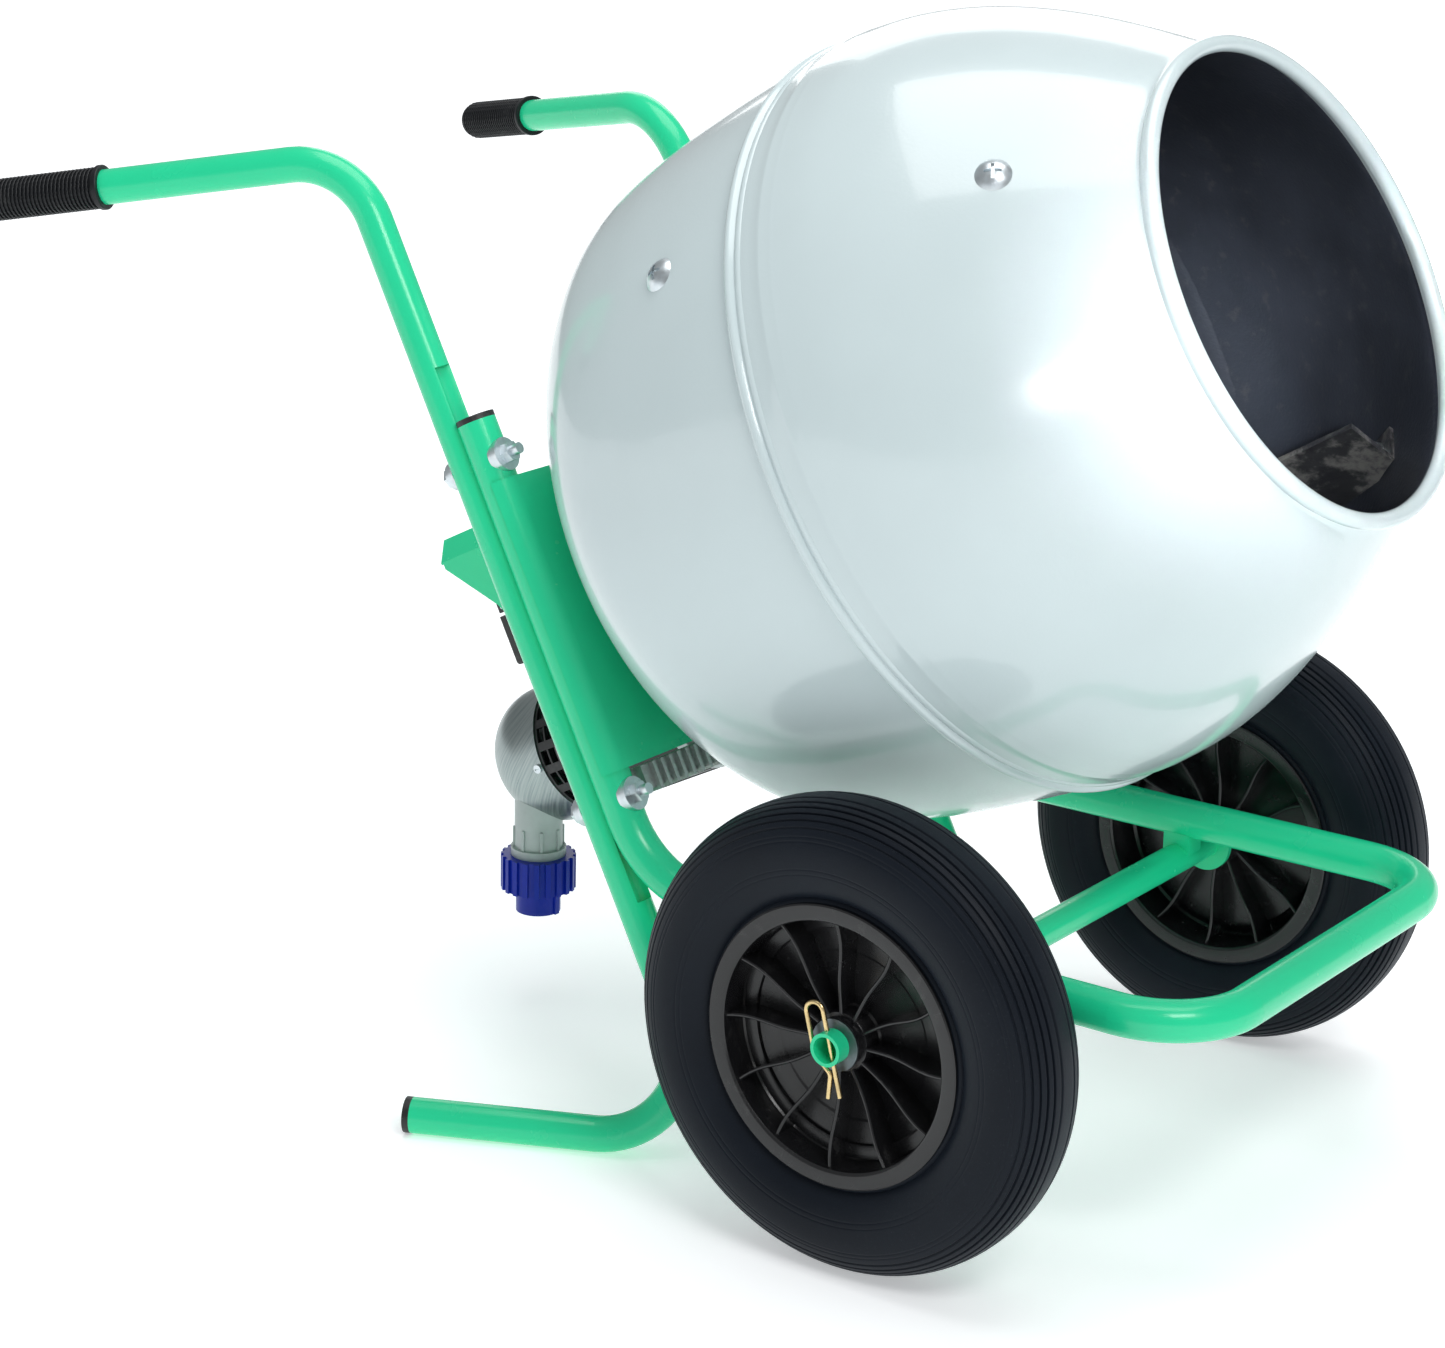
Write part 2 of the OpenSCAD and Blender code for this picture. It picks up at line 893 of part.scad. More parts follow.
drum_seat = 12.5;
front_bearing_r = 31;
rear_bearing_r = 26;

module drum_shaft() {
    color(steel)
        on_drive() {
            translate([0, 0, case_split - 2])
                cylinder(d = shaft_d, h = base_z - case_split + 2);
            translate([0, 0, case_split - 19])
                cylinder(r = drum_seat, h = 18);
            translate([0, 0, case_split - 30])
                cylinder(r = 10, h = 12);
        }
}

module drum_shaft_nut() {
    color(zinc)
        on_drive()
            translate([0, 0, case_split - 29])
                difference() {
                    hex_head(30, 10);
                    translate([0, 0, -1])
                        cylinder(r = 10, h = 12);
                }
}

module drum_bearings() {
    color(steel)
        on_drive() {
            translate([0, 0, 5])
                ring(front_bearing_r, shaft_d / 2 + run_fit, 16);
            translate([0, 0, case_split - 15])
                ring(rear_bearing_r, drum_seat + run_fit, 12);
        }
}

lay_seat = 7.5;
lay_bearing_r = 16;
lay_boss_r = lay_bearing_r + 4;
lay_boss_h = 11;

module lay_bearings() {
    color(steel)
        on_drive()
            translate([0, -lay_drop, 0]) {
                translate([0, 0, case_front - case_wall - 9])
                    ring(lay_bearing_r, lay_seat + run_fit, 9);
                translate([0, 0, case_split - 9])
                    ring(lay_bearing_r, lay_seat + run_fit, 9);
            }
}

module layshaft() {
    color(steel)
        on_drive()
            translate([0, -lay_drop, 0]) {
                translate([0, 0, case_split - 8])
                    cylinder(r = lay_seat, h = case_front - case_wall - 1 - case_split + 8);
                translate([0, 0, -gear_w - 2])
                    rotate(90)
                        linear_extrude(height = gear_w + 4)
                            gear_profile(lay_module, pinion_teeth);
            }
}

module lay_gear() {
    color(steel)
        on_drive()
            translate([0, -lay_drop, case_split + 4])
                difference() {
                    rotate(180 / gear_teeth - 90)
                        linear_extrude(height = lay_gear_w)
                            gear_profile(motor_module, gear_teeth);
                    translate([0, 0, -1])
                        cylinder(r = lay_seat, h = lay_gear_w + 2);
                }
}

case_r = lay_module * gear_teeth / 2 + 12;
lay_case_r = motor_module * gear_teeth / 2 + 9;
motor_case_r = 32;

// Outline of the gear case, drawn smaller by the wall for its hollow.
module case_outline(wall) {
    circle(r = case_r - wall, $fn = 96);
    translate([0, -lay_drop])
        circle(r = lay_case_r - wall, $fn = 96);
    translate([0, -motor_drop])
        circle(r = motor_case_r - wall);
    translate([wall - 50, -lay_drop])
        square([100 - 2 * wall, lay_drop]);
    translate([wall - 30, -motor_drop])
        square([60 - 2 * wall, motor_drop - lay_drop]);
}

module at_case_bolts() {
    for (q = [[-61, 74], [61, 74], [-93, -24], [93, -24], [-50, -122], [50, -122]])
        translate([q[0], q[1], 0])
            children();
}

module gear_case() {
    color(cast)
        on_drive()
            difference() {
                union() {
                    translate([0, 0, case_split])
                        linear_extrude(height = case_front - case_split)
                            case_outline(0);
                    cylinder(r = front_bearing_r + 6, h = 21);
                    at_case_bolts()
                        translate([0, 0, case_split])
                            cylinder(r = 8, h = case_front - case_split);
                    translate([-30, lower_bolt + 20, -9])
                        cube([60, 20, 18]);
                    for (x = [-24, -12, 0, 12, 24])
                        translate([x - 2, -motor_drop - motor_case_r - 1.5, case_split])
                            cube([4, 20, 24]);
                }
                difference() {
                    translate([0, 0, case_split - 1])
                        linear_extrude(height = case_front - case_wall - case_split + 1)
                            case_outline(case_wall);
                    translate([0, 0, 0.5])
                        cylinder(r = front_bearing_r + 6, h = 20);
                    translate([0, -lay_drop, 1.5])
                        cylinder(r = lay_boss_r, h = 20);
                    at_case_bolts()
                        translate([0, 0, case_split - 2])
                            cylinder(r = 8, h = case_front - case_split + 2);
                }
                translate([0, 0, 5])
                    cylinder(r = front_bearing_r, h = 20);
                translate([0, 0, -1])
                    cylinder(r = shaft_d / 2 + 6, h = 20);
                translate([0, -lay_drop, 1])
                    cylinder(r = lay_bearing_r, h = case_front - case_wall - 1);
                at_case_bolts()
                    translate([0, 0, case_split - 1])
                        cylinder(r = 3, h = 80, $fn = 32);
            }
}

module gear_case_cover() {
    color(cast)
        on_drive()
            difference() {
                union() {
                    translate([0, 0, case_back])
                        linear_extrude(height = case_wall)
                            case_outline(0);
                    at_case_bolts()
                        translate([0, 0, case_back])
                            cylinder(r = 8, h = case_wall);
                    translate([0, 0, case_split - 18])
                        cylinder(r = rear_bearing_r + 5, h = 18);
                    translate([0, -lay_drop, case_split - lay_boss_h])
                        cylinder(r = lay_boss_r, h = lay_boss_h);
                }
                translate([0, 0, case_split - 15])
                    cylinder(r = rear_bearing_r, h = 20);
                translate([0, 0, case_split - 20])
                    cylinder(r = drum_seat + 2, h = 20);
                translate([0, -lay_drop, case_split - 9])
                    cylinder(r = lay_bearing_r, h = 20);
                translate([0, -motor_drop, case_back - 1])
                    cylinder(r = motor_shaft_r + 1.5, h = 20);
                at_case_bolts()
                    translate([0, 0, case_back - 1])
                        cylinder(r = 3, h = 80, $fn = 32);
            }
}

module gear_case_bolts() {
    color(zinc)
        on_drive()
            at_case_bolts() {
                translate([0, 0, case_front + sheet])
                    hex_head(10, 4);
                translate([0, 0, case_back])
                    cylinder(r = 3, h = case_front + sheet - case_back + 1, $fn = 32);
            }
}

// ---- Sheet housing between the posts ----

housing_x = side_x - tube_r - 2.5;
lip_r = tube_r + sheet;

// Front sheet seen from above, with its edges rolled round the posts.
module housing_section() {
    translate([-side_x, tube_r])
        square([frame_w, sheet]);
    for (sx = [-1, 1]) {
        translate([sx * side_x, 0])
            difference() {
                circle(r = lip_r);
                circle(r = tube_r);
                translate([-sx * 50 - 50, -50])
                    square([100, 100]);
                translate([-50, -50])
                    square([100, 56]);
            }
        translate([sx * (housing_x - sheet / 2) - sheet / 2, housing_back])
            square([sheet, tube_r + sheet - housing_back]);
    }
}

module drive_housing() {
    color(green)
        on_drive()
            difference() {
                union() {
                    translate([0, housing_top, 0])
                        rotate([90, 0, 0])
                            linear_extrude(height = housing_top - housing_low)
                                housing_section();
                    for (u = [housing_low, housing_top - sheet])
                        translate([-housing_x, u, housing_back])
                            cube([2 * housing_x, sheet, case_front - housing_back]);
                }
                cylinder(r = front_bearing_r + 7, h = 40);
                at_case_bolts()
                    cylinder(r = 3.3, h = 40, $fn = 32);
                translate([-62, housing_low - 1, housing_back - 1])
                    cube([124, 8, case_front - housing_back + 1]);
            }
}

module housing_cover() {
    color(green)
        on_drive()
            difference() {
                translate([-housing_x, housing_low, housing_back - sheet])
                    cube([2 * housing_x, housing_top - housing_low, sheet]);
                translate([0, 0, housing_back - 10])
                    cylinder(r = rear_bearing_r + 6, h = 20);
                translate([0, -motor_drop, housing_back - 10])
                    cylinder(r = motor_r + 0.5, h = 20);
            }
}

rail_top = housing_low - 3;
rail_h = 22;

module lower_rail() {
    color(cast)
        on_drive()
            difference() {
                union() {
                    translate([-housing_x, rail_top - rail_h, -9])
                        cube([2 * housing_x, rail_h, 27]);
                    translate([-side_x, rail_top - rail_h, -9])
                        cube([frame_w, rail_h, 18]);
                    for (x = [12 : 12 : housing_x - 6], sx = [-1, 1])
                        translate([sx * x - 2, rail_top - rail_h - 3, -9])
                            cube([4, rail_h + 3, 32]);
                }
                for (sx = [-1, 1])
                    translate([sx * side_x, 0, 0])
                        rotate([90, 0, 0])
                            cylinder(r = tube_r, h = 500);
                on_both_sides()
                    translate([10, rail_top - rail_h + 4, -10])
                        cube([housing_x - 22, rail_h - 8, 22]);
            }
}

// ---- Motor, on its own axis below the drum shaft ----

module on_motor() {
    on_drive()
        translate([0, -motor_drop, 0])
            children();
}

module motor_front_shield() {
    color(cast)
        on_motor()
            difference() {
                translate([0, 0, barrel_front])
                    cylinder(r = motor_r, h = shield_t);
                translate([0, 0, barrel_front - 1])
                    cylinder(r = 17.5, h = 12);
                translate([0, 0, barrel_front])
                    cylinder(r = motor_shaft_r + 1.5, h = 20);
                translate([0, motor_drop - lay_drop, case_split - lay_boss_h - slide_gap])
                    cylinder(r = lay_boss_r + slide_gap, h = 20);
            }
}

barrel_wall = 5;

module motor_barrel() {
    color(black)
        on_motor()
            difference() {
                union() {
                    translate([0, 0, barrel_back])
                        cylinder(r = motor_r - 4, h = barrel_length);
                    for (i = [0 : 23])
                        rotate(i * 15)
                            translate([motor_r - 6, -1.5, barrel_back])
                                cube([5.6, 3, barrel_length]);
                }
                translate([0, 0, barrel_back - 1])
                    cylinder(r = motor_r - 4 - barrel_wall, h = barrel_length + 2);
            }
}

stator_r = motor_r - 4 - barrel_wall;
stator_front = barrel_front - 20;
stator_length = barrel_length - 44;
stator_back = stator_front - stator_length;

module stator() {
    color(steel)
        on_motor()
            translate([0, 0, stator_back])
                ring(stator_r, 35, stator_length);
}

module windings() {
    color(copper)
        on_motor() {
            translate([0, 0, stator_front])
                ring(stator_r - 5, 38, 12);
            translate([0, 0, stator_back - 12])
                ring(stator_r - 5, 38, 12);
        }
}

module motor_rear_shield() {
    color(cast)
        on_motor()
            difference() {
                union() {
                    translate([0, 0, grille_front])
                        cylinder(r = motor_r, h = rear_shield_t);
                    translate([0, 0, barrel_back])
                        cylinder(r = 22, h = 11);
                }
                translate([0, 0, barrel_back])
                    cylinder(r = 17.5, h = 12);
                translate([0, 0, grille_front - 1])
                    cylinder(r = motor_shaft_r + 1.5, h = 20);
            }
}

module motor_bearings() {
    color(steel)
        on_motor() {
            translate([0, 0, barrel_front])
                ring(17.5, motor_shaft_r + run_fit, 11);
            translate([0, 0, barrel_back])
                ring(17.5, motor_shaft_r + run_fit, 11);
        }
}

module motor_shaft() {
    color(steel)
        on_motor() {
            translate([0, 0, grille_back + 2])
                cylinder(r = motor_shaft_r, h = case_back - grille_back);
            translate([0, 0, case_back])
                cylinder(r = 5, h = 10);
            translate([0, 0, case_split + 3])
                rotate(90)
                    linear_extrude(height = lay_gear_w + 2)
                        gear_profile(motor_module, pinion_teeth);
        }
}

module rotor_core() {
    color(steel)
        on_motor()
            translate([0, 0, stator_back])
                ring(34.5, motor_shaft_r, stator_length);
}

module cooling_fan() {
    color(black)
        on_motor()
            translate([0, 0, grille_back + 3])
                difference() {
                    union() {
                        cylinder(r = 13, h = 16);
                        cylinder(r = 50, h = 2.5);
                        for (i = [0 : 8])
                            rotate(i * 40)
                                translate([10, -1.25, 0])
                                    cube([42, 2.5, 15]);
                    }
                    translate([0, 0, -1])
                        cylinder(r = motor_shaft_r, h = 20);
                }
}

grille_length = grille_front - grille_back;
spigot = 10;
dome_wall = 1.5;

module fan_grille() {
    color(black)
        difference() {
            on_motor()
                translate([0, 0, grille_back])
                    difference() {
                        translate([0, 0, -spigot])
                            ring(motor_r - dome_wall, motor_r - 5, grille_length + spigot);
                        for (i = [0 : 17], w = [3, 13])
                            rotate(i * 20)
                                translate([motor_r - 12, -7, w])
                                    cube([20, 14, 8]);
                    }
            at_dome_screws()
                translate([0, 0, -10])
                    cylinder(r = 2, h = 20, $fn = 24);
        }
}

dome_corner = motor_r - 10;
dome_skirt = dome_depth - dome_corner;

module dome_profile(t) {
    square([motor_r - t, dome_skirt]);
    translate([0, dome_skirt])
        square([10, dome_corner - t]);
    translate([10, dome_skirt])
        intersection() {
            circle(r = dome_corner - t, $fn = 96);
            square(100);
        }
}

module dome_solid(t) {
    on_motor()
        translate([0, 0, grille_back])
            mirror([0, 0, 1])
                rotate_extrude($fn = 96)
                    dome_profile(t);
}

module at_dome_screws() {
    on_motor()
        for (i = [0 : 3])
            rotate(i * 90 + 6)
                translate([motor_r, 0, grille_back - 5])
                    rotate([0, 90, 0])
                        children();
}

module dome_cover() {
    color(zinc)
        difference() {
            dome_solid(0);
            dome_solid(dome_wall);
            at_dome_screws()
                translate([0, 0, -10])
                    cylinder(r = 2.2, h = 20, $fn = 24);
        }
}

module dome_screws() {
    color(zinc)
        at_dome_screws() {
            difference() {
                cylinder(r = 4.2, h = 2.6, $fn = 32);
                translate([-3, -0.5, 1.4])
                    cube([6, 1, 3]);
            }
            translate([0, 0, -7])
                cylinder(r = 2, h = 8, $fn = 24);
        }
}

// ---- Power inlet, hanging straight down from the underside of the dome ----

inlet_x = -30;
inlet_r = 23;
inlet_u = -motor_drop - 50;
inlet_back = dome_back + 27;
inlet_y = shaft_at[1] + inlet_u * post[1] + inlet_back * ahead[1];
collar_low = shaft_at[2] + inlet_u * post[2] + inlet_back * ahead[2] - 37;
inlet_ring_h = 34;
shroud_h = 57;
shroud_r = 21.5;
shroud_floor = 14;
contact_r = 2.5;
contact_root_r = 3.2;
contact_length = 30;

module at_inlet() {
    translate([inlet_x, inlet_y, collar_low])
        children();
}

module inlet_body() {
    color(cast)
        difference() {
            at_inlet() {
                cylinder(r = inlet_r + 3.5, h = 8);
                cylinder(r = inlet_r, h = 64);
                for (i = [0 : 7])
                    rotate(i * 45)
                        translate([inlet_r - 1, -1.5, 6])
                            cube([2.6, 3, 22]);
            }
            dome_solid(0);
        }
}

module inlet_ring() {
    color(blue)
        at_inlet()
            translate([0, 0, -inlet_ring_h])
                difference() {
                    union() {
                        cylinder(r = 33.5, h = inlet_ring_h);
                        for (i = [0 : 19])
                            rotate(i * 18)
                                translate([32, -2.5, 0])
                                    cube([4, 5, inlet_ring_h]);
                    }
                    translate([0, 0, -1])
                        cylinder(r = shroud_r + 2.5, h = inlet_ring_h + 2);
                }
}

module at_inlet_pins() {
    for (a = [30, 150, 270])
        rotate(a)
            translate([10, 0, 0])
                children();
}

module inlet_shroud() {
    color(blue)
        at_inlet()
            difference() {
                union() {
                    translate([0, 0, -shroud_h])
                        cylinder(r = shroud_r, h = shroud_h);
                    translate([-3, -shroud_r - 2, -shroud_h])
                        cube([6, 6, shroud_h - inlet_ring_h - 2]);
                }
                translate([0, 0, -shroud_h - 1])
                    cylinder(r = shroud_r - 3, h = shroud_h + 1 - shroud_floor);
                at_inlet_pins()
                    translate([0, 0, -shroud_floor - 1])
                        cylinder(r = contact_root_r, h = 9, $fn = 32);
            }
}

module inlet_pins() {
    color(brass)
        at_inlet()
            at_inlet_pins() {
                translate([0, 0, -shroud_floor - contact_length])
                    cylinder(r = contact_r, h = contact_length + 4, $fn = 32);
                translate([0, 0, -shroud_floor])
                    cylinder(r = contact_root_r, h = 8, $fn = 32);
            }
}

// ---- Rain hood and switch on the housing cover ----

cover_face = housing_back - sheet;
hood_low = -20;

module hood_section(t) {
    polygon([[t - hood_w / 2, hood_low - 1], [t - hood_w / 2, hood_side],
        [t - hood_w / 2 + 15, hood_top - t], [hood_w / 2 - 15 - t, hood_top - t],
        [hood_w / 2 - t, hood_side], [hood_w / 2 - t, hood_low - 1]]);
}

module rain_hood() {
    color(green)
        on_drive()
            intersection() {
                difference() {
                    translate([0, 0, hood_back])
                        linear_extrude(height = cover_face - hood_back)
                            hood_section(0);
                    translate([0, 0, hood_back + sheet])
                        linear_extrude(height = cover_face - hood_back)
                            hood_section(sheet);
                    translate([-hood_w / 2 - 1, -100, hood_back - 1])
                        cube([hood_w + 2, 100 + hood_side - 2, sheet + 1.5]);
                }
                rotate([0, -90, 0])
                    linear_extrude(height = hood_w + 10, center = true)
                        polygon([[cover_face, hood_low], [cover_face, hood_top + 1],
                            [hood_back, hood_top + 1], [hood_back, hood_side - 4],
                            [hood_back + 48, 4], [hood_back + 63, hood_low]]);
            }
}

module on_switch() {
    on_drive()
        translate([switch_x, 0, 0])
            children();
}

ear_w = 6;

module switch_block() {
    color(black)
        on_switch()
            difference() {
                union() {
                    translate([-switch_w / 2, switch_low, switch_back])
                        cube([switch_w, switch_top - switch_low, cover_face - switch_back]);
                    for (x = [-switch_w / 2, switch_w / 2 - ear_w])
                        translate([x, flap_pin_u - 5, flap_pin_z - 5])
                            cube([ear_w, 13, switch_back - flap_pin_z + 6]);
                }
                translate([-switch_w / 2 - 1, flap_pin_u, flap_pin_z])
                    rotate([0, 90, 0])
                        cylinder(r = 2, h = switch_w + 2, $fn = 32);
                for (u = [start_u, stop_u])
                    translate([0, u, switch_back - 1])
                        cylinder(r = button_r + slide_gap, h = 15);
            }
}

module flap_pin() {
    color(zinc)
        on_switch()
            translate([-switch_w / 2, flap_pin_u, flap_pin_z])
                rotate([0, 90, 0])
                    cylinder(r = 2, h = switch_w, $fn = 32);
}

module stop_flap() {
    color(black)
        on_switch()
            difference() {
                union() {
                    translate([ear_w + slide_gap - switch_w / 2, flap_pin_u, flap_pin_z])
                        rotate([0, 90, 0])
                            cylinder(r = 5, h = switch_w - 2 * ear_w - 2 * slide_gap);
                    translate([ear_w + slide_gap - switch_w / 2, flap_pin_u - 8, flap_pin_z - 5])
                        cube([switch_w - 2 * ear_w - 2 * slide_gap, 8, 5]);
                    translate([-switch_w / 2, flap_pin_u - flap_h + 5, flap_pin_z - 5 - flap_t + 6])
                        cube([switch_w, flap_h - 13, flap_t]);
                    translate([-switch_w / 2, flap_pin_u - flap_h + 5, flap_pin_z - 5 - flap_t / 2 + 6])
                        rotate([0, 90, 0])
                            cylinder(r = flap_t / 2, h = switch_w, $fn = 32);
                }
                translate([-switch_w / 2, flap_pin_u, flap_pin_z])
                    rotate([0, 90, 0])
                        cylinder(r = 2 + run_fit, h = switch_w, $fn = 32);
            }
}

module button_at(u) {
    on_switch()
        translate([0, u, switch_back - button_lift])
            children();
}

module start_button() {
    color([0.10, 0.55, 0.20])
        button_at(start_u)
            cylinder(r = button_r, h = button_lift + 8);
}

module stop_button() {
    color([0.75, 0.08, 0.08])
        button_at(stop_u)
            cylinder(r = button_r, h = button_lift + 8);
}

// From the wheel axle to the middle of the length, drum mouth to grip ends.
front_y = shaft_at[1] + rim_z * ahead[1] - mouth_r * post[1] - rim_r;
back_y = grip_reach + 11;

translate([0, -(front_y + back_y) / 2, 0]) {
    frame_tube();
    axle_tube();
    axle_saddles();
    axle_collars();
    left_leg_tube();
    right_leg_tube();
    post_caps();
    foot_caps();
    handle_grips();
    frame_bolts();
    frame_washers();
    frame_nuts();
    left_wheel_rim();
    left_tyre();
    right_wheel_rim();
    right_tyre();
    axle_washers();
    axle_clips();
    drum_bowl();
    drum_cone();
    drum_flange();
    drum_flange_bolts();
    drum_shaft();
    output_gear();
    drum_shaft_nut();
    paddles();
    paddle_screws();
    paddle_nuts();
    gear_case();
    gear_case_cover();
    gear_case_bolts();
    drum_bearings();
    lay_bearings();
    layshaft();
    lay_gear();
    drive_housing();
    housing_cover();
    lower_rail();
    motor_barrel();
    motor_front_shield();
    motor_rear_shield();
    stator();
    windings();
    motor_shaft();
    rotor_core();
    cooling_fan();
    motor_bearings();
    fan_grille();
    dome_cover();
    dome_screws();
    inlet_body();
    inlet_ring();
    inlet_shroud();
    inlet_pins();
    rain_hood();
    switch_block();
    stop_flap();
    flap_pin();
    start_button();
    stop_button();
}
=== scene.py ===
"""A barrow-type concrete mixer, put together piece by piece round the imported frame."""
import json
import math

import bmesh
import bpy
from mathutils import Matrix, Vector


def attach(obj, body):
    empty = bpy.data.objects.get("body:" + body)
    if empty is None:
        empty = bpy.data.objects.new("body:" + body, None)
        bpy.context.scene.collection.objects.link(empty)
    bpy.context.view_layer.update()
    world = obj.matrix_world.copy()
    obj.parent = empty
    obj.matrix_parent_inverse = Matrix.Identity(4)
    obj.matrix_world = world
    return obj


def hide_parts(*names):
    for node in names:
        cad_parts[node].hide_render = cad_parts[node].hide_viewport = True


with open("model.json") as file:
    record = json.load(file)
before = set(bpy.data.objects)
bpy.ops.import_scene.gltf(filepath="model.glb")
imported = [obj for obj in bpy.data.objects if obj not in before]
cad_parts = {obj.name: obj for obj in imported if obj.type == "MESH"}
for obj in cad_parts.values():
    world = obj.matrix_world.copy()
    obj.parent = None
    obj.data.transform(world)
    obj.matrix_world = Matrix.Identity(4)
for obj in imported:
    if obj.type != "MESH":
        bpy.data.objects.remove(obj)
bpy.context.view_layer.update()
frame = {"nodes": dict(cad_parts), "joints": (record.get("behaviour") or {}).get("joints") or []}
nodes = frame["nodes"]


# ---- Camera ----------------------------------------------------------------------------
# A long lens well to one side of the drum mouth, looking a little down. The small shift keeps
# the posts nearly upright and still leaves the whole machine in every other view.
camera_at = Vector((-2.5739, -1.8074, 1.3308))
look_yaw, look_pitch, look_roll = (math.radians(a) for a in (54.306, -14.787, 1.134))
forward = Vector((math.cos(look_pitch) * math.sin(look_yaw),
                  math.cos(look_pitch) * math.cos(look_yaw), math.sin(look_pitch)))
level = Vector((math.cos(look_yaw), -math.sin(look_yaw), 0))
upright = level.cross(forward)
right = level * math.cos(look_roll) + upright * math.sin(look_roll)
above = upright * math.cos(look_roll) - level * math.sin(look_roll)
camera = bpy.data.objects.new("camera", bpy.data.cameras.new("camera"))
bpy.context.scene.collection.objects.link(camera)
camera.matrix_world = Matrix((
    (right.x, above.x, -forward.x, camera_at.x),
    (right.y, above.y, -forward.y, camera_at.y),
    (right.z, above.z, -forward.z, camera_at.z),
    (0, 0, 0, 1)))
camera.data.sensor_width = 36
camera.data.lens = 89.6
camera.data.shift_y = -0.1
camera.data.clip_end = 60
bpy.context.scene.camera = camera


# ---- Studio ----------------------------------------------------------------------------
# A pale room with one big soft box over the drum, a smaller one from the front, a low fill
# from the far side and a narrow beam into the drum's mouth.
def soft_light(name, at, aim, size, power, height=None):
    lamp = bpy.data.lights.new(name, "AREA")
    lamp.shape = "RECTANGLE"
    lamp.size = size
    lamp.size_y = height or size
    lamp.energy = power
    made = bpy.data.objects.new(name, lamp)
    bpy.context.scene.collection.objects.link(made)
    made.location = at
    made.rotation_euler = (Vector(aim) - Vector(at)).to_track_quat("-Z", "Y").to_euler()
    return made


soft_light("key_box", (-1.5, -2.4, 2.9), (0, -0.4, 0.6), 1.3, 40, 0.9)
soft_light("top_box", (0.2, -0.2, 3.6), (0, -0.3, 0.4), 2.6, 62)
soft_light("back_box", (2.6, 1.7, 2.0), (0, -0.1, 0.5), 1.8, 16)
mouth_box = soft_light("mouth_box", (-2.3, -1.9, 1.35), (0.12, -0.42, 0.72), 0.12, 0.32)
mouth_box.data.spread = math.radians(9)

world = bpy.data.worlds.new("white_room")
bpy.context.scene.world = world
world.use_nodes = True
world.node_tree.nodes["Background"].inputs["Color"].default_value = (0.95, 0.98, 1.0, 1)
world.node_tree.nodes["Background"].inputs["Strength"].default_value = 0.36
bpy.context.scene.view_settings.view_transform = "Standard"


# Numbers and links on shader sockets are worked out with plain Python arithmetic.
class Reading:
    """One output of a node, ready for arithmetic."""

    def __init__(self, finish, socket):
        self.finish = finish
        self.socket = socket

    def maths(self, operation, *terms):
        return self.finish.node("ShaderNodeMath", {"operation": operation}, terms)

    def __add__(self, other):
        return self.maths("ADD", self, other)

    def __mul__(self, other):
        return self.maths("MULTIPLY", self, other)

    __radd__ = __add__
    __rmul__ = __mul__


class Finish:
    """A surface finish: one Principled shader and the nodes that feed it."""

    def __init__(self, name, **shader):
        self.material = bpy.data.materials.new(name)
        self.material.use_nodes = True
        self.tree = self.material.node_tree
        self.tree.nodes.clear()
        self.shader = self.tree.nodes.new("ShaderNodeBsdfPrincipled")
        output = self.tree.nodes.new("ShaderNodeOutputMaterial")
        self.tree.links.new(self.shader.outputs[0], output.inputs[0])
        for key, value in shader.items():
            self.inlet(key).default_value = value

    def inlet(self, key):
        """The shader's socket for a name such as base_color."""
        return self.shader.inputs[key.replace("_", " ").title().replace("Ior", "IOR")]

    def join(self, value, socket):
        if isinstance(value, Reading):
            self.tree.links.new(value.socket, socket)
        else:
            many = hasattr(socket.default_value, "__len__")
            socket.default_value = (*value, 1.0)[:len(socket.default_value)] if many else value

    def node(self, kind, settings, values, output=0):
        made = self.tree.nodes.new(kind)
        for key, value in settings.items():
            setattr(made, key, value)
        pairs = values.items() if isinstance(values, dict) else enumerate(values)
        for key, value in pairs:
            self.join(value, made.inputs[key])
        return Reading(self, made.outputs[output])

    def where(self, stretch=(1, 1, 1), turn=(0, 0, 0), at=(0, 0, 0)):
        spot = self.node("ShaderNodeTexCoord", {}, {}, "Object")
        return self.node("ShaderNodeMapping", {"vector_type": "TEXTURE"},
                         {"Vector": spot, "Location": at, "Rotation": turn,
                          "Scale": [1 / s for s in stretch]})

    def noise(self, scale, detail=3, rough=0.55, vector=None, low=0.0, high=1.0):
        """Noise rescaled so that its usual middle range runs from low to high."""
        cloud = self.node("ShaderNodeTexNoise", {},
                          {"Vector": vector or self.where(), "Scale": scale,
                           "Detail": detail, "Roughness": rough})
        return self.node("ShaderNodeMapRange", {},
                         {"Value": cloud, "From Min": 0.3, "From Max": 0.7,
                          "To Min": low, "To Max": high})

    def band(self, value, start, end):
        """0 below start, 1 above end, smooth between."""
        return self.node("ShaderNodeMapRange", {"interpolation_type": "SMOOTHSTEP"},
                         {"Value": value, "From Min": start, "From Max": end})

    def blend(self, share, first, second, kind="MIX"):
        return self.node("ShaderNodeMix", {"data_type": "RGBA", "blend_type": kind},
                         {0: share, 6: first, 7: second}, 2)

    def bumped(self, height, distance, strength=1.0):
        bump = self.node("ShaderNodeBump", {},
                         {"Height": height, "Distance": distance, "Strength": strength})
        self.join(bump, self.shader.inputs["Normal"])
        return self

    def feed(self, **sockets):
        for key, value in sockets.items():
            self.join(value, self.inlet(key))
        return self


def finish_nodes(finish, *names):
    for name in names:
        nodes[name].data.materials.clear()
        nodes[name].data.materials.append(finish.material)


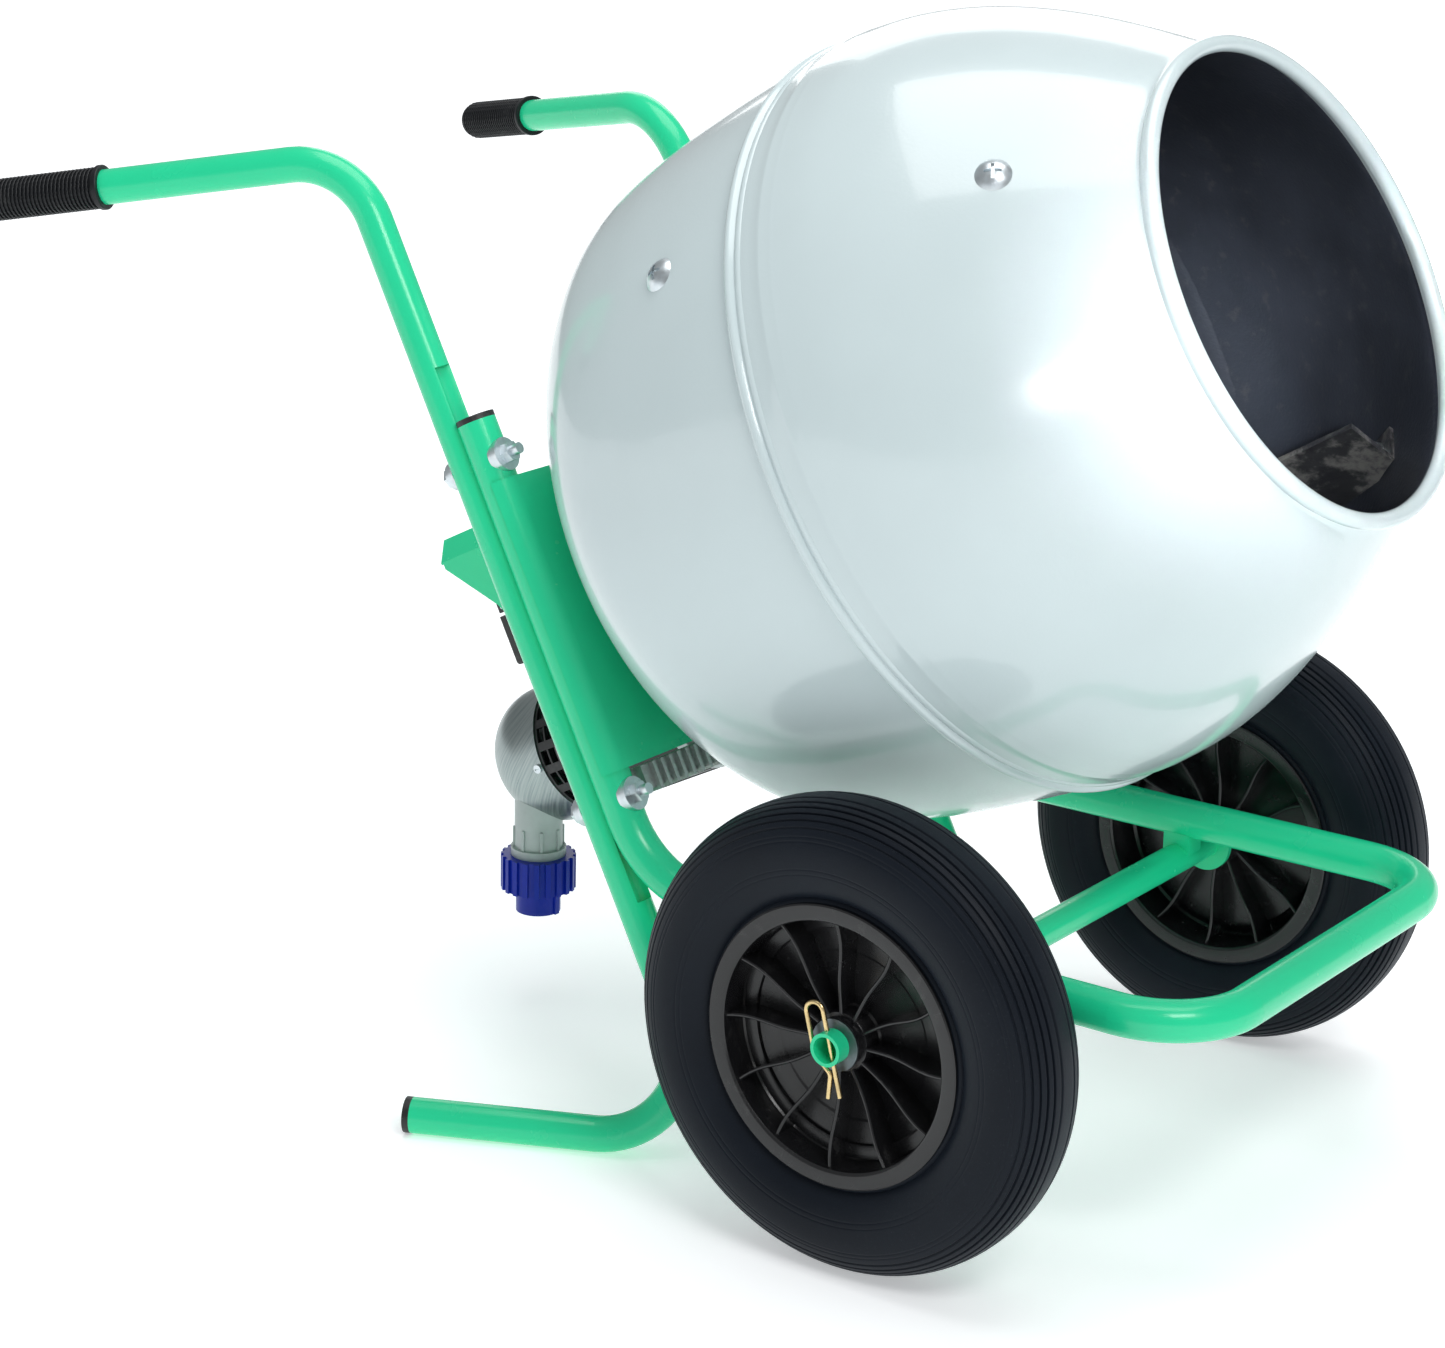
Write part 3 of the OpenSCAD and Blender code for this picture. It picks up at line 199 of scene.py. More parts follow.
# ---- Bent tube frame -------------------------------------------------------------------
# Welded round steel tube, powder coated green: the posts, side tubes and front bar are one
# tube, the handle, leg and foot of each side another. The coat shows faint orange peel.
def powder_coat(name, colour, peel=420):
    coat = Finish(name, coat_weight=0.16, coat_roughness=0.08, specular_ior_level=0.42)
    cloud = coat.noise(9, 4)
    grain = coat.noise(900, 2)
    wear = coat.band(coat.noise(38, 6, 0.7), 0.96, 1.08)
    shade = coat.blend(cloud, [c * 0.97 for c in colour], [min(1, c * 1.03) for c in colour])
    shade = coat.blend(grain * 0.06, shade, [c * 0.6 for c in colour])
    coat.feed(base_color=coat.blend(wear * 0.14, shade, [c * 0.66 for c in colour]),
              roughness=0.22 + coat.noise(30, 3) * 0.06 + wear * 0.1)
    return coat.bumped(coat.noise(peel, 2), 0.00004)


green_coat = powder_coat("green_powder_coat", (0.016, 0.70, 0.335))
finish_nodes(green_coat, "frame_tube", "axle_tube", "axle_saddles", "axle_collars",
             "left_leg_tube", "right_leg_tube")


# ---- Post and foot caps ----------------------------------------------------------------
# Black polyethylene plugs pressed into the ends of the posts and feet; fine moulded grain.
def moulded(name, colour, rough, texture=1400, depth=0.00003, dust=0.15, gloss=0.5):
    plastic = Finish(name, specular_ior_level=gloss)
    cloud = plastic.noise(14, 4)
    dusty = plastic.band(plastic.noise(60, 6, 0.65), 0.62, 1.0) * dust
    shade = plastic.blend(cloud, [c * 0.8 for c in colour], [c * 1.2 for c in colour])
    plastic.feed(base_color=plastic.blend(dusty, shade, (0.30, 0.30, 0.29)),
                 roughness=rough + cloud * 0.08 + dusty * 0.5)
    return plastic.bumped(plastic.noise(texture, 2), depth)


finish_nodes(moulded("black_cap_plastic", (0.012, 0.012, 0.013), 0.38), "post_caps", "foot_caps")


# ---- Handle grips ----------------------------------------------------------------------
# Soft black rubber grips pushed over the handle ends: a wider collar, 27 ribs round the
# sleeve crossed by fine lengthwise flutes, and a rounded closed end.
# A section turned round an axis; outline = (radius, height) or (radius, height, finish number).
def turned(name, outline, place, finishes, steps=128, sharp=35):
    mesh = bmesh.new()
    rings = []
    for radius, height, *_ in outline:
        if radius < 1e-6:
            rings.append([mesh.verts.new((0, 0, height))] * steps)
        else:
            rings.append([mesh.verts.new((radius * math.cos(a), radius * math.sin(a), height))
                          for a in (math.tau * k / steps for k in range(steps))])
    for low in range(len(rings)):
        high = (low + 1) % len(rings)
        number = outline[low][2] if len(outline[low]) > 2 else 0
        for k in range(steps):
            corners = [rings[low][k], rings[low][(k + 1) % steps],
                       rings[high][(k + 1) % steps], rings[high][k]]
            corners = [v for n, v in enumerate(corners) if v not in corners[:n]]
            if len(corners) > 2:
                mesh.faces.new(corners).material_index = number
    return settled(name, mesh, place, finishes, sharp)


# Closes off a mesh made in a piece's own frame: put in place, faces outward, smooth shaded.
def settled(name, mesh, place, finishes, sharp=35):
    mesh.transform(place)
    bmesh.ops.remove_doubles(mesh, verts=mesh.verts, dist=1e-6)
    bmesh.ops.recalc_face_normals(mesh, faces=mesh.faces)
    data = bpy.data.meshes.new(name)
    mesh.to_mesh(data)
    mesh.free()
    data.shade_smooth()
    data.set_sharp_from_angle(angle=math.radians(sharp))
    for finish in finishes:
        data.materials.append(finish.material)
    made = bpy.data.objects.new(name, data)
    bpy.context.scene.collection.objects.link(made)
    return made


def mounted(piece, body, slot, *replaced):
    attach(piece, body)
    if replaced:
        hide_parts(*replaced)
    return piece


def axis_frame(at, along, side):
    """Frame at a point: z along the axis, x as near as can be to the side direction."""
    z = Vector(along).normalized()
    y = z.cross(Vector(side)).normalized()
    x = y.cross(z)
    return Matrix(((x.x, y.x, z.x, at[0]), (x.y, y.y, z.y, at[1]), (x.z, y.z, z.z, at[2]),
                   (0, 0, 0, 1)))


def ribs_repeated(name, rib, place, finish, count, step=0.0, turn=0.0, sharp=35):
    """Copies one moulded rib along and round its own z axis with Geometry Nodes."""
    tree = bpy.data.node_groups.new(name + "_pattern", "GeometryNodeTree")
    sockets = {"Rib": "NodeSocketGeometry", "Count": "NodeSocketInt", "Step": "NodeSocketFloat",
               "Turn": "NodeSocketFloat", "Finish": "NodeSocketMaterial"}
    inlets = {key: tree.interface.new_socket(key, in_out="INPUT", socket_type=kind).identifier
              for key, kind in sockets.items()}
    tree.interface.new_socket("Ribs", in_out="OUTPUT", socket_type="NodeSocketGeometry")
    kinds = {"given": "NodeGroupInput", "made": "NodeGroupOutput", "points": "GeometryNodePoints",
             "index": "GeometryNodeInputIndex", "rise": "ShaderNodeMath", "twist": "ShaderNodeMath",
             "spot": "ShaderNodeCombineXYZ", "angles": "ShaderNodeCombineXYZ",
             "aim": "FunctionNodeEulerToRotation", "copies": "GeometryNodeInstanceOnPoints",
             "solid": "GeometryNodeRealizeInstances", "paint": "GeometryNodeSetMaterial"}
    part = {key: tree.nodes.new(kind) for key, kind in kinds.items()}
    part["rise"].operation = part["twist"].operation = "MULTIPLY"
    for a, out, b, into in (
            ("given", "Count", "points", "Count"), ("index", 0, "rise", 0),
            ("given", "Step", "rise", 1), ("rise", 0, "spot", "Z"), ("spot", 0, "points", "Position"),
            ("index", 0, "twist", 0), ("given", "Turn", "twist", 1), ("twist", 0, "angles", "Z"),
            ("angles", 0, "aim", 0), ("points", 0, "copies", "Points"),
            ("given", "Rib", "copies", "Instance"), ("aim", 0, "copies", "Rotation"),
            ("copies", 0, "solid", 0), ("solid", 0, "paint", "Geometry"),
            ("given", "Finish", "paint", "Material"), ("paint", 0, "made", 0)):
        tree.links.new(part[a].outputs[out], part[b].inputs[into])
    one = settled(name, rib, Matrix.Identity(4), [finish], sharp)
    pattern = one.modifiers.new("ribs", "NODES")
    pattern.node_group = tree
    settings = {"Count": count, "Step": step, "Turn": turn, "Finish": finish.material}
    for key, value in settings.items():
        pattern[inlets[key]] = value
    ready = one.evaluated_get(bpy.context.evaluated_depsgraph_get())
    data = bpy.data.meshes.new_from_object(ready)
    one.modifiers.remove(pattern)
    one.data = data
    data.transform(place)
    data.name = name
    return one


def ring_rib(section, steps, flutes=0, dip=0.0):
    """One rib as a closed ring; its section is (radius, height)."""
    rib = bmesh.new()
    rows = []
    for k in range(steps):
        a = math.tau * k / steps
        notch = dip * (0.5 - 0.5 * math.cos(flutes * a)) if flutes else 0.0
        rows.append([rib.verts.new(((r - notch) * math.cos(a), (r - notch) * math.sin(a), z))
                     for r, z in section])
    for k in range(steps):
        for n in range(len(section)):
            m = (n + 1) % len(section)
            ahead = rows[(k + 1) % steps]
            rib.faces.new((rows[k][n], ahead[n], ahead[m], rows[k][m]))
    return rib


grip_rubber = moulded("grip_rubber", (0.006, 0.007, 0.009), 0.40, 900, 0.00005, 0.05, 0.34)
grip_length, sleeve_r, tube_end_r = 0.118, 0.0170, 0.0160
wheel_y = next(j for j in frame["joints"] if j["name"] == "left_wheel_spin")["pos_m"][1]
for side, sign in (("left", -1), ("right", 1)):
    along = Vector((sign * 0.33303, 0.92710, -0.17217)).normalized()
    end = Vector((sign * 0.343, wheel_y + 0.943, 0.774))
    place = axis_frame(end, along, (0, 0, 1))
    profile = [(tube_end_r, -0.114), (0.0198, -0.114), (0.0204, -0.1132), (0.0204, -0.1098),
               (0.0198, -0.109), (sleeve_r, -0.1084), (sleeve_r, 0.0012), (0.0174, 0.0032),
               (0.0164, 0.0047), (0.0142, 0.0054), (0.0, 0.0055), (0.0, 0.0), (tube_end_r, 0.0)]
    sleeve = turned(side + "_grip_sleeve", profile, place, [grip_rubber], 64)
    mounted(sleeve, "frame", "grip_rubber", *(["handle_grips"] if side == "left" else []))
    ribs = ribs_repeated(side + "_grip_ribs",
                         ring_rib([(0.0166, -0.0012), (0.0188, -0.0009), (0.0192, -0.0004),
                                   (0.0192, 0.0004), (0.0188, 0.0009), (0.0166, 0.0012)],
                                  96, 24, 0.0005),
                         place @ Matrix.Translation((0, 0, -0.1045)), grip_rubber, 27, 0.00392)
    mounted(ribs, "frame", "grip_rubber")


# ---- Post bolts ------------------------------------------------------------------------
# Bright zinc plated hex bolts with curved washers clamp each leg to its post.
def plated(name, colour, rough=0.28, grain=160):
    plate = Finish(name, metallic=1.0)
    cloud = plate.noise(70, 5, 0.6)
    spangle = plate.noise(grain, 3)
    shade = plate.blend(cloud, [c * 0.78 for c in colour], [min(1, c * 1.12) for c in colour])
    shade = plate.blend(spangle * 0.25, shade, [c * f for c, f in zip(colour, (0.9, 1, 1.1))])
    plate.feed(base_color=shade, roughness=rough + spangle * 0.14)
    return plate.bumped(spangle, 0.00004)


bright_zinc = plated("bright_zinc", (0.70, 0.75, 0.77))
finish_nodes(bright_zinc, "frame_bolts", "frame_washers", "frame_nuts")


# ---- Tyres -----------------------------------------------------------------------------
# Air-filled barrow tyres of blue-black rubber: moulded grooves round the tread and each
# shoulder, fine mould rings down the sidewall and a bead tucked behind the rim flange.
tyre_rubber = Finish("tyre_rubber", specular_ior_level=0.14, sheen_weight=0.05,
                     sheen_tint=(0.35, 0.45, 0.6, 1))
rubber_cloud = tyre_rubber.noise(11, 4)
rubber_dust = (tyre_rubber.band(tyre_rubber.noise(420, 4, 0.7), 0.70, 1.1)
               * tyre_rubber.band(tyre_rubber.noise(7, 3), 0.35, 1.0))
tyre_rubber.feed(
    base_color=tyre_rubber.blend(
        rubber_dust * 0.07,
        tyre_rubber.blend(rubber_cloud, (0.0042, 0.0066, 0.0112), (0.0062, 0.0095, 0.0155)),
        (0.25, 0.27, 0.30)),
    roughness=0.44 + rubber_cloud * 0.06 + rubber_dust * 0.12)
tyre_rubber.bumped(tyre_rubber.noise(900, 3), 0.00006)


def wheel_places():
    """Each wheel's side, its body and a frame with z along the axle, outward."""
    for side, sign in (("left", -1), ("right", 1)):
        joint = next(j for j in frame["joints"] if j["name"] == side + "_wheel_spin")
        yield side, side + "_wheel", axis_frame(joint["pos_m"], (sign, 0, 0), (0, 0, 1))


def tyre_half():
    """The tyre's outer line from the crown to the bead: (radius, height)."""
    grooves = [(8, 0.0016), (18, 0.0021), (27, 0.0022), (36, 0.0021), (45, 0.0018), (54, 0.0013)]
    line = []
    for k in range(234):
        turn = k * 0.6
        dip = sum(depth * math.exp(-((turn - at) / 1.15) ** 4) for at, depth in grooves)
        dip += sum(0.0004 * math.exp(-((turn - at) / 0.8) ** 2) for at in (64, 69, 99, 105))
        a = math.radians(turn)
        line.append((0.156 + (0.0438 - dip) * math.cos(a), (0.0436 - dip) * math.sin(a) ** 0.8))
    return line + [(0.1206, 0.0328), (0.1198, 0.0330), (0.1130, 0.0322), (0.1085, 0.0312),
                   (0.1083, 0.0200), (0.1130, 0.0180)]


tyre_side = tyre_half()
tyre_inside = [(0.1180, 0.0240), (0.128, 0.028), (0.145, 0.0345), (0.162, 0.0335),
               (0.178, 0.026), (0.188, 0.013)]
tyre_ring = (tyre_side + tyre_inside + [(r, -z) for r, z in tyre_inside[::-1]]
             + [(r, -z) for r, z in tyre_side[:0:-1]])
for side, body, place in wheel_places():
    tyre = turned(side + "_air_tyre", tyre_ring, place, [tyre_rubber], 120, sharp=50)
    mounted(tyre, body, "tyre_rubber", side + "_tyre")


# ---- Wheel rims ------------------------------------------------------------------------
# One-piece injection moulded rims in glossy black nylon: a flat bead flange, a deep stepped
# bowl and twelve thin, slightly curved ribs that run in to the hub.
rim_plastic = moulded("rim_plastic", (0.0085, 0.0085, 0.0095), 0.20, 1500, 0.00002, 0.05)
rim_section = [
    (0.1195, 0.0345), (0.1193, 0.0362), (0.1180, 0.0370), (0.1075, 0.0370), (0.1060, 0.0364),
    (0.1048, 0.0350), (0.1040, 0.0300), (0.1034, 0.0110), (0.1022, 0.0094), (0.0925, 0.0090),
    (0.0912, 0.0082), (0.0908, 0.0046), (0.0890, 0.0040), (0.0730, 0.0040), (0.0718, 0.0034),
    (0.0700, 0.0026), (0.0280, 0.0026), (0.0262, 0.0040), (0.0256, 0.0180), (0.0246, 0.0196),
    (0.0214, 0.0200), (0.0210, 0.0210), (0.0208, 0.0252), (0.0200, 0.0260), (0.0142, 0.0260),
    (0.0142, -0.0400), (0.0242, -0.0400), (0.0250, -0.0390), (0.0256, -0.0060), (0.0270, -0.0042),
    (0.0300, -0.0036), (0.0890, -0.0040), (0.0925, -0.0034), (0.0940, 0.0000), (0.1010, 0.0030),
    (0.1034, 0.0010), (0.1040, -0.0300), (0.1048, -0.0350), (0.1060, -0.0364), (0.1075, -0.0370),
    (0.1180, -0.0370), (0.1193, -0.0362), (0.1195, -0.0345), (0.1190, -0.0334), (0.1100, -0.0330),
    (0.1082, -0.0315), (0.1082, 0.0315), (0.1100, 0.0330), (0.1190, 0.0334)]


def rim_rib(facing, steps=14, thick=0.0030, ease=0.0009):
    """A rib that bends gently on its way from the hub out to the flange, on either face."""
    rib = bmesh.new()
    rows = []
    for k in range(steps + 1):
        q = k / steps
        r = 0.0245 + q * 0.0797
        a = math.radians(1.4) * math.sin(math.tau * q)
        out, across = Vector((math.cos(a), math.sin(a), 0)), Vector((-math.sin(a), math.cos(a), 0))
        top = 0.0222 + 0.0100 * q ** 1.5
        half = thick / 2
        section = ((-half, 0.0015), (-half, top - ease), (ease - half, top), (half - ease, top),
                   (half, top - ease), (half, 0.0015))
        rows.append([rib.verts.new(out * r + across * side + Vector((0, 0, z * facing)))
                     for side, z in section])
    for low, high in zip(rows, rows[1:]):
        for n in range(6):
            m = (n + 1) % 6
            rib.faces.new((low[n], high[n], high[m], low[m]))
    rib.faces.new(rows[0])
    rib.faces.new(rows[-1][::-1])
    return rib


for side, body, place in wheel_places():
    rim = turned(side + "_rim_dish", rim_section, place, [rim_plastic], 120, sharp=30)
    mounted(rim, body, "black_plastic", side + "_wheel_rim")
    for face, facing in (("outer", 1), ("inner", -1)):
        ribs = ribs_repeated(f"{side}_{face}_rim_ribs", rim_rib(facing), place, rim_plastic, 12,
                             turn=math.tau / 12)
        mounted(ribs, body, "black_plastic")


# ---- Axle washers and hitch clips ------------------------------------------------------
# Dark oiled steel washers hold the wheels on; yellow passivated wire clips go through the
# axle outside them.
oiled_steel = plated("oiled_steel", (0.16, 0.18, 0.19), 0.36, 110)
clip_brass = plated("clip_brass", (0.80, 0.60, 0.30), 0.22)
finish_nodes(oiled_steel, "axle_washers")
finish_nodes(clip_brass, "axle_clips")


# ---- Drum ------------------------------------------------------------------------------
# Two pressed steel shells joined by a rolled seam, stove enamelled off-white outside and
# black inside.
def stove_enamel(name, colour, rough=0.16):
    enamel = Finish(name, coat_weight=0.5, coat_roughness=0.06)
    cloud = enamel.noise(3.5, 4)
    shade = enamel.blend(cloud, [c * 0.96 for c in colour], [min(1, c * 1.03) for c in colour])
    speck = enamel.band(enamel.noise(240, 3, 0.6), 0.98, 1.12)
    enamel.feed(base_color=enamel.blend(speck * 0.35, shade, [c * 0.6 for c in colour]),
                roughness=rough + enamel.noise(22, 3) * 0.07)
    return enamel.bumped(enamel.noise(300, 2) * 0.3 + enamel.noise(6, 2), 0.00012)


drum_enamel = stove_enamel("off_white_enamel", (0.60, 0.70, 0.715))
inside_black = moulded("inside_black", (0.040, 0.047, 0.064), 0.40, 260, 0.00015, 0.10)

spin = next(j for j in frame["joints"] if j["name"] == "drum_spin")
drum_frame = axis_frame(spin["pos_m"], spin["axis"], (1, 0, 0))
base_z, seam_z, rim_z = 0.038, 0.363, 0.680
shell_t = 0.0025


def eased(points, share=8):
    """A smooth line through the points (Catmull-Rom)."""
    line = []
    ends = [points[0]] + points + [points[-1]]
    for a, b, c, d in zip(ends, ends[1:], ends[2:], ends[3:]):
        for k in range(share):
            t = k / share
            line.append(tuple(
                0.5 * (2 * q + (r - p) * t + (2 * p - 5 * q + 4 * r - s) * t * t
                       + (3 * q - p - 3 * r + s) * t ** 3)
                for p, q, r, s in zip(a, b, c, d)))
    return line + [points[-1]]


def inner_line(points, depth):
    """The same line moved in by the sheet thickness, back to front."""
    moved = []
    for n, (radius, height) in enumerate(points):
        before, after = points[max(n - 1, 0)], points[min(n + 1, len(points) - 1)]
        run = Vector((after[0] - before[0], after[1] - before[1])).normalized()
        moved.append((max(0.0, radius - run.y * depth), height + run.x * depth))
    return moved[::-1]


bowl_side = eased([(r / 1000, z / 1000) for r, z in (
    (150, 38), (183, 42), (215, 52.5), (254.8, 73), (284.9, 103), (307, 143), (320, 203),
    (327, 263), (331.2, 313), (334, 358.5))])
bowl_line = [(0.0, base_z), (0.10, base_z)] + bowl_side
bowl = turned("drum_rear_bowl",
              [(r, z, 0) for r, z in bowl_line]
              + [(r, z, 1) for r, z in inner_line(bowl_line, shell_t)],
              drum_frame, [drum_enamel, inside_black], 192)
mounted(bowl, "drum", "drum_enamel", "drum_bowl")

hem = [(334.3, -5), (336.6, -4.7), (338.8, -3.3), (339.9, -1.1), (339.8, 1.1), (338.5, 3),
       (336.8, 4.2), (335.9, 5.3), (336.2, 6.6), (337.3, 7.8), (337.6, 9.4), (337.1, 11),
       (336.2, 12.2), (336.1, 20), (336.1, 28), (336.6, 30), (336.6, 33), (336.1, 35)]
cone_side = eased([(r / 1000, seam_z + s / 1000) for r, s in (
    (336.1, 42), (330.1, 79.9), (317.6, 120.1), (299.5, 160.1), (277.1, 200), (250.8, 240),
    (224, 278), (208.8, 301), (205.4, 308.5))])
lip = [(0.203 + 0.0069 * math.cos(a), rim_z + 0.0069 * math.sin(a))
       for a in (math.radians(d) for d in range(-40, 221, 13))]
cone_line = [(r / 1000, seam_z + s / 1000) for r, s in hem] + cone_side
cone_inside = [(r, z) for r, z in inner_line(cone_line, shell_t) if z > seam_z - 0.004]
cone = turned("drum_front_cone",
              [(r, z, 0) for r, z in cone_line + lip] + [(r, z, 1) for r, z in cone_inside],
              drum_frame, [drum_enamel, inside_black], 192)
mounted(cone, "drum", "drum_enamel", "drum_cone")


# ---- Mixing paddles --------------------------------------------------------------------
# Two bent steel plates inside the drum, dipped black with the paint rubbed off along their
# edges, held by big cross-recess screws from outside and nuts inside.
rubbed = Finish("rubbed_black_steel", metallic=0.6)
scuffs = rubbed.band(rubbed.noise(26, 6, 0.7), 0.40, 0.85)
streaks = rubbed.noise(60, 4, 0.6, rubbed.where((1, 0.15, 1)))
rubbed.feed(
    base_color=rubbed.blend(scuffs * 0.7, rubbed.blend(streaks, (0.060, 0.065, 0.075),
                                                       (0.110, 0.115, 0.125)), (0.52, 0.52, 0.50)),
    roughness=0.34 + scuffs * 0.16)
rubbed.bumped(rubbed.noise(260, 3), 0.00008)
finish_nodes(rubbed, "paddles")
finish_nodes(bright_zinc, "paddle_screws", "paddle_nuts")


# ---- Drum flange and shaft -------------------------------------------------------------
# A cast flange bolted under the bowl carries the drum on a turned steel shaft, which runs
# in two ball bearings in the gear case.
def turned_steel(name, colour, rough=0.30):
    """Bare steel with the fine rings that a lathe leaves about the drive axis."""
    bare = Finish(name, metallic=1.0)
    spot = bare.where(turn=(math.radians(-62.5), 0, 0))
    rings = bare.noise(60, 4, 0.6, bare.node("ShaderNodeVectorMath", {"operation": "MULTIPLY"},
                                             {0: spot, 1: (0.3, 0.3, 12)}))
    stain = bare.noise(24, 5, 0.65)
    shade = bare.blend(rings, [c * 0.82 for c in colour], [min(1, c * 1.1) for c in colour])
    bare.feed(base_color=bare.blend(stain * 0.22, shade, (0.26, 0.22, 0.17)),
              roughness=rough + rings * 0.14)
    return bare.bumped(rings, 0.00003)


bare_steel = turned_steel("bare_steel", (0.44, 0.44, 0.45))
finish_nodes(bare_steel, "drum_shaft", "drum_bearings")
finish_nodes(bright_zinc, "drum_flange_bolts", "drum_shaft_nut")


def cast(name, colour, grain=500, depth=0.00025):
    """Sand-cast aluminium: matt, slightly pitted, darker in its hollows."""
    metal = Finish(name, metallic=0.85)
    pits = metal.noise(grain, 4, 0.6)
    stain = metal.noise(18, 5, 0.6)
    shade = metal.blend(pits, [c * 0.75 for c in colour], colour)
    metal.feed(base_color=metal.blend(stain * 0.3, shade, [c * 0.6 for c in colour]),
               roughness=0.44 + pits * 0.16)
    return metal.bumped(pits, depth)


cast_aluminium = cast("cast_aluminium", (0.60, 0.62, 0.63))
finish_nodes(cast_aluminium, "drum_flange")


# ---- Gear case -------------------------------------------------------------------------
# A cast aluminium case bolted between the posts; two hardened gear pairs bring the motor
# speed down 49 to 1.
gear_steel = turned_steel("oiled_gear_steel", (0.36, 0.34, 0.32), 0.22)
finish_nodes(cast_aluminium, "gear_case", "gear_case_cover")
finish_nodes(gear_steel, "output_gear", "lay_gear", "layshaft")
finish_nodes(bare_steel, "lay_bearings")
finish_nodes(bright_zinc, "gear_case_bolts")


# ---- Drive housing ---------------------------------------------------------------------
# Folded sheet steel housing in the frame's green, welded across the posts, with a screwed
# rear cover; a ribbed grey cast rail closes it at the bottom.
finish_nodes(green_coat, "drive_housing", "housing_cover")
rail_grey = cast("rail_grey", (0.62, 0.64, 0.63), 300, 0.00035)
finish_nodes(rail_grey, "lower_rail")


# ---- Motor -----------------------------------------------------------------------------
# Totally enclosed motor: black painted barrel between cast end shields, laminated stator,
# varnished copper windings, and a moulded fan on the tail of the shaft.
motor_black = powder_coat("motor_black", (0.012, 0.012, 0.013), 600)
lamination = Finish("lamination_steel", metallic=0.9)
leaves = lamination.node("ShaderNodeTexWave", {"bands_direction": "Z"},
                         {"Vector": lamination.where(turn=(math.radians(-62.5), 0, 0)),
                          "Scale": 320.0, "Distortion": 0.4})
lamination.feed(base_color=lamination.blend(leaves, (0.10, 0.10, 0.11), (0.30, 0.30, 0.31)),
                roughness=0.38 + leaves * 0.12)
lamination.bumped(leaves, 0.00006)
varnished_copper = Finish("varnished_copper", metallic=0.9)
strands = varnished_copper.node("ShaderNodeTexWave", {"bands_direction": "DIAGONAL"},
                                {"Vector": varnished_copper.where(), "Scale": 240.0,
                                 "Distortion": 1.5})
varnished_copper.feed(
    base_color=varnished_copper.blend(strands, (0.34, 0.12, 0.04), (0.74, 0.36, 0.16)),
    roughness=0.24 + strands * 0.12)
varnished_copper.bumped(strands, 0.0002)
finish_nodes(motor_black, "motor_barrel")
finish_nodes(cast_aluminium, "motor_front_shield", "motor_rear_shield")
finish_nodes(lamination, "stator", "rotor_core")
finish_nodes(varnished_copper, "windings")
finish_nodes(bare_steel, "motor_shaft", "motor_bearings")
fan_black = moulded("fan_black", (0.012, 0.012, 0.013), 0.40)
finish_nodes(fan_black, "cooling_fan")


# ---- Motor cover and grille ------------------------------------------------------------
# A deep spun cover of bright galvanised steel, screwed over a black moulded air grille.
spun = Finish("spun_galvanised_steel", metallic=1.0)
spun_spot = spun.where(turn=(math.radians(-62.5), 0, 0))
spin_lines = spun.noise(70, 3, 0.6, spun.node("ShaderNodeVectorMath", {"operation": "MULTIPLY"},
                                              {0: spun_spot, 1: (0.25, 0.25, 9)}))
spun_stain = spun.noise(9, 4, 0.6)
spun.feed(
    base_color=spun.blend(spun_stain * 0.25, spun.blend(spin_lines, (0.24, 0.29, 0.29),
                                                       (0.42, 0.47, 0.46)), (0.25, 0.28, 0.28)),
    roughness=0.26 + spin_lines * 0.10 + spun_stain * 0.05)
spun.bumped(spin_lines, 0.00004)
finish_nodes(spun, "dome_cover")
finish_nodes(bright_zinc, "dome_screws")
finish_nodes(moulded("grille_black", (0.012, 0.012, 0.013), 0.34), "fan_grille")


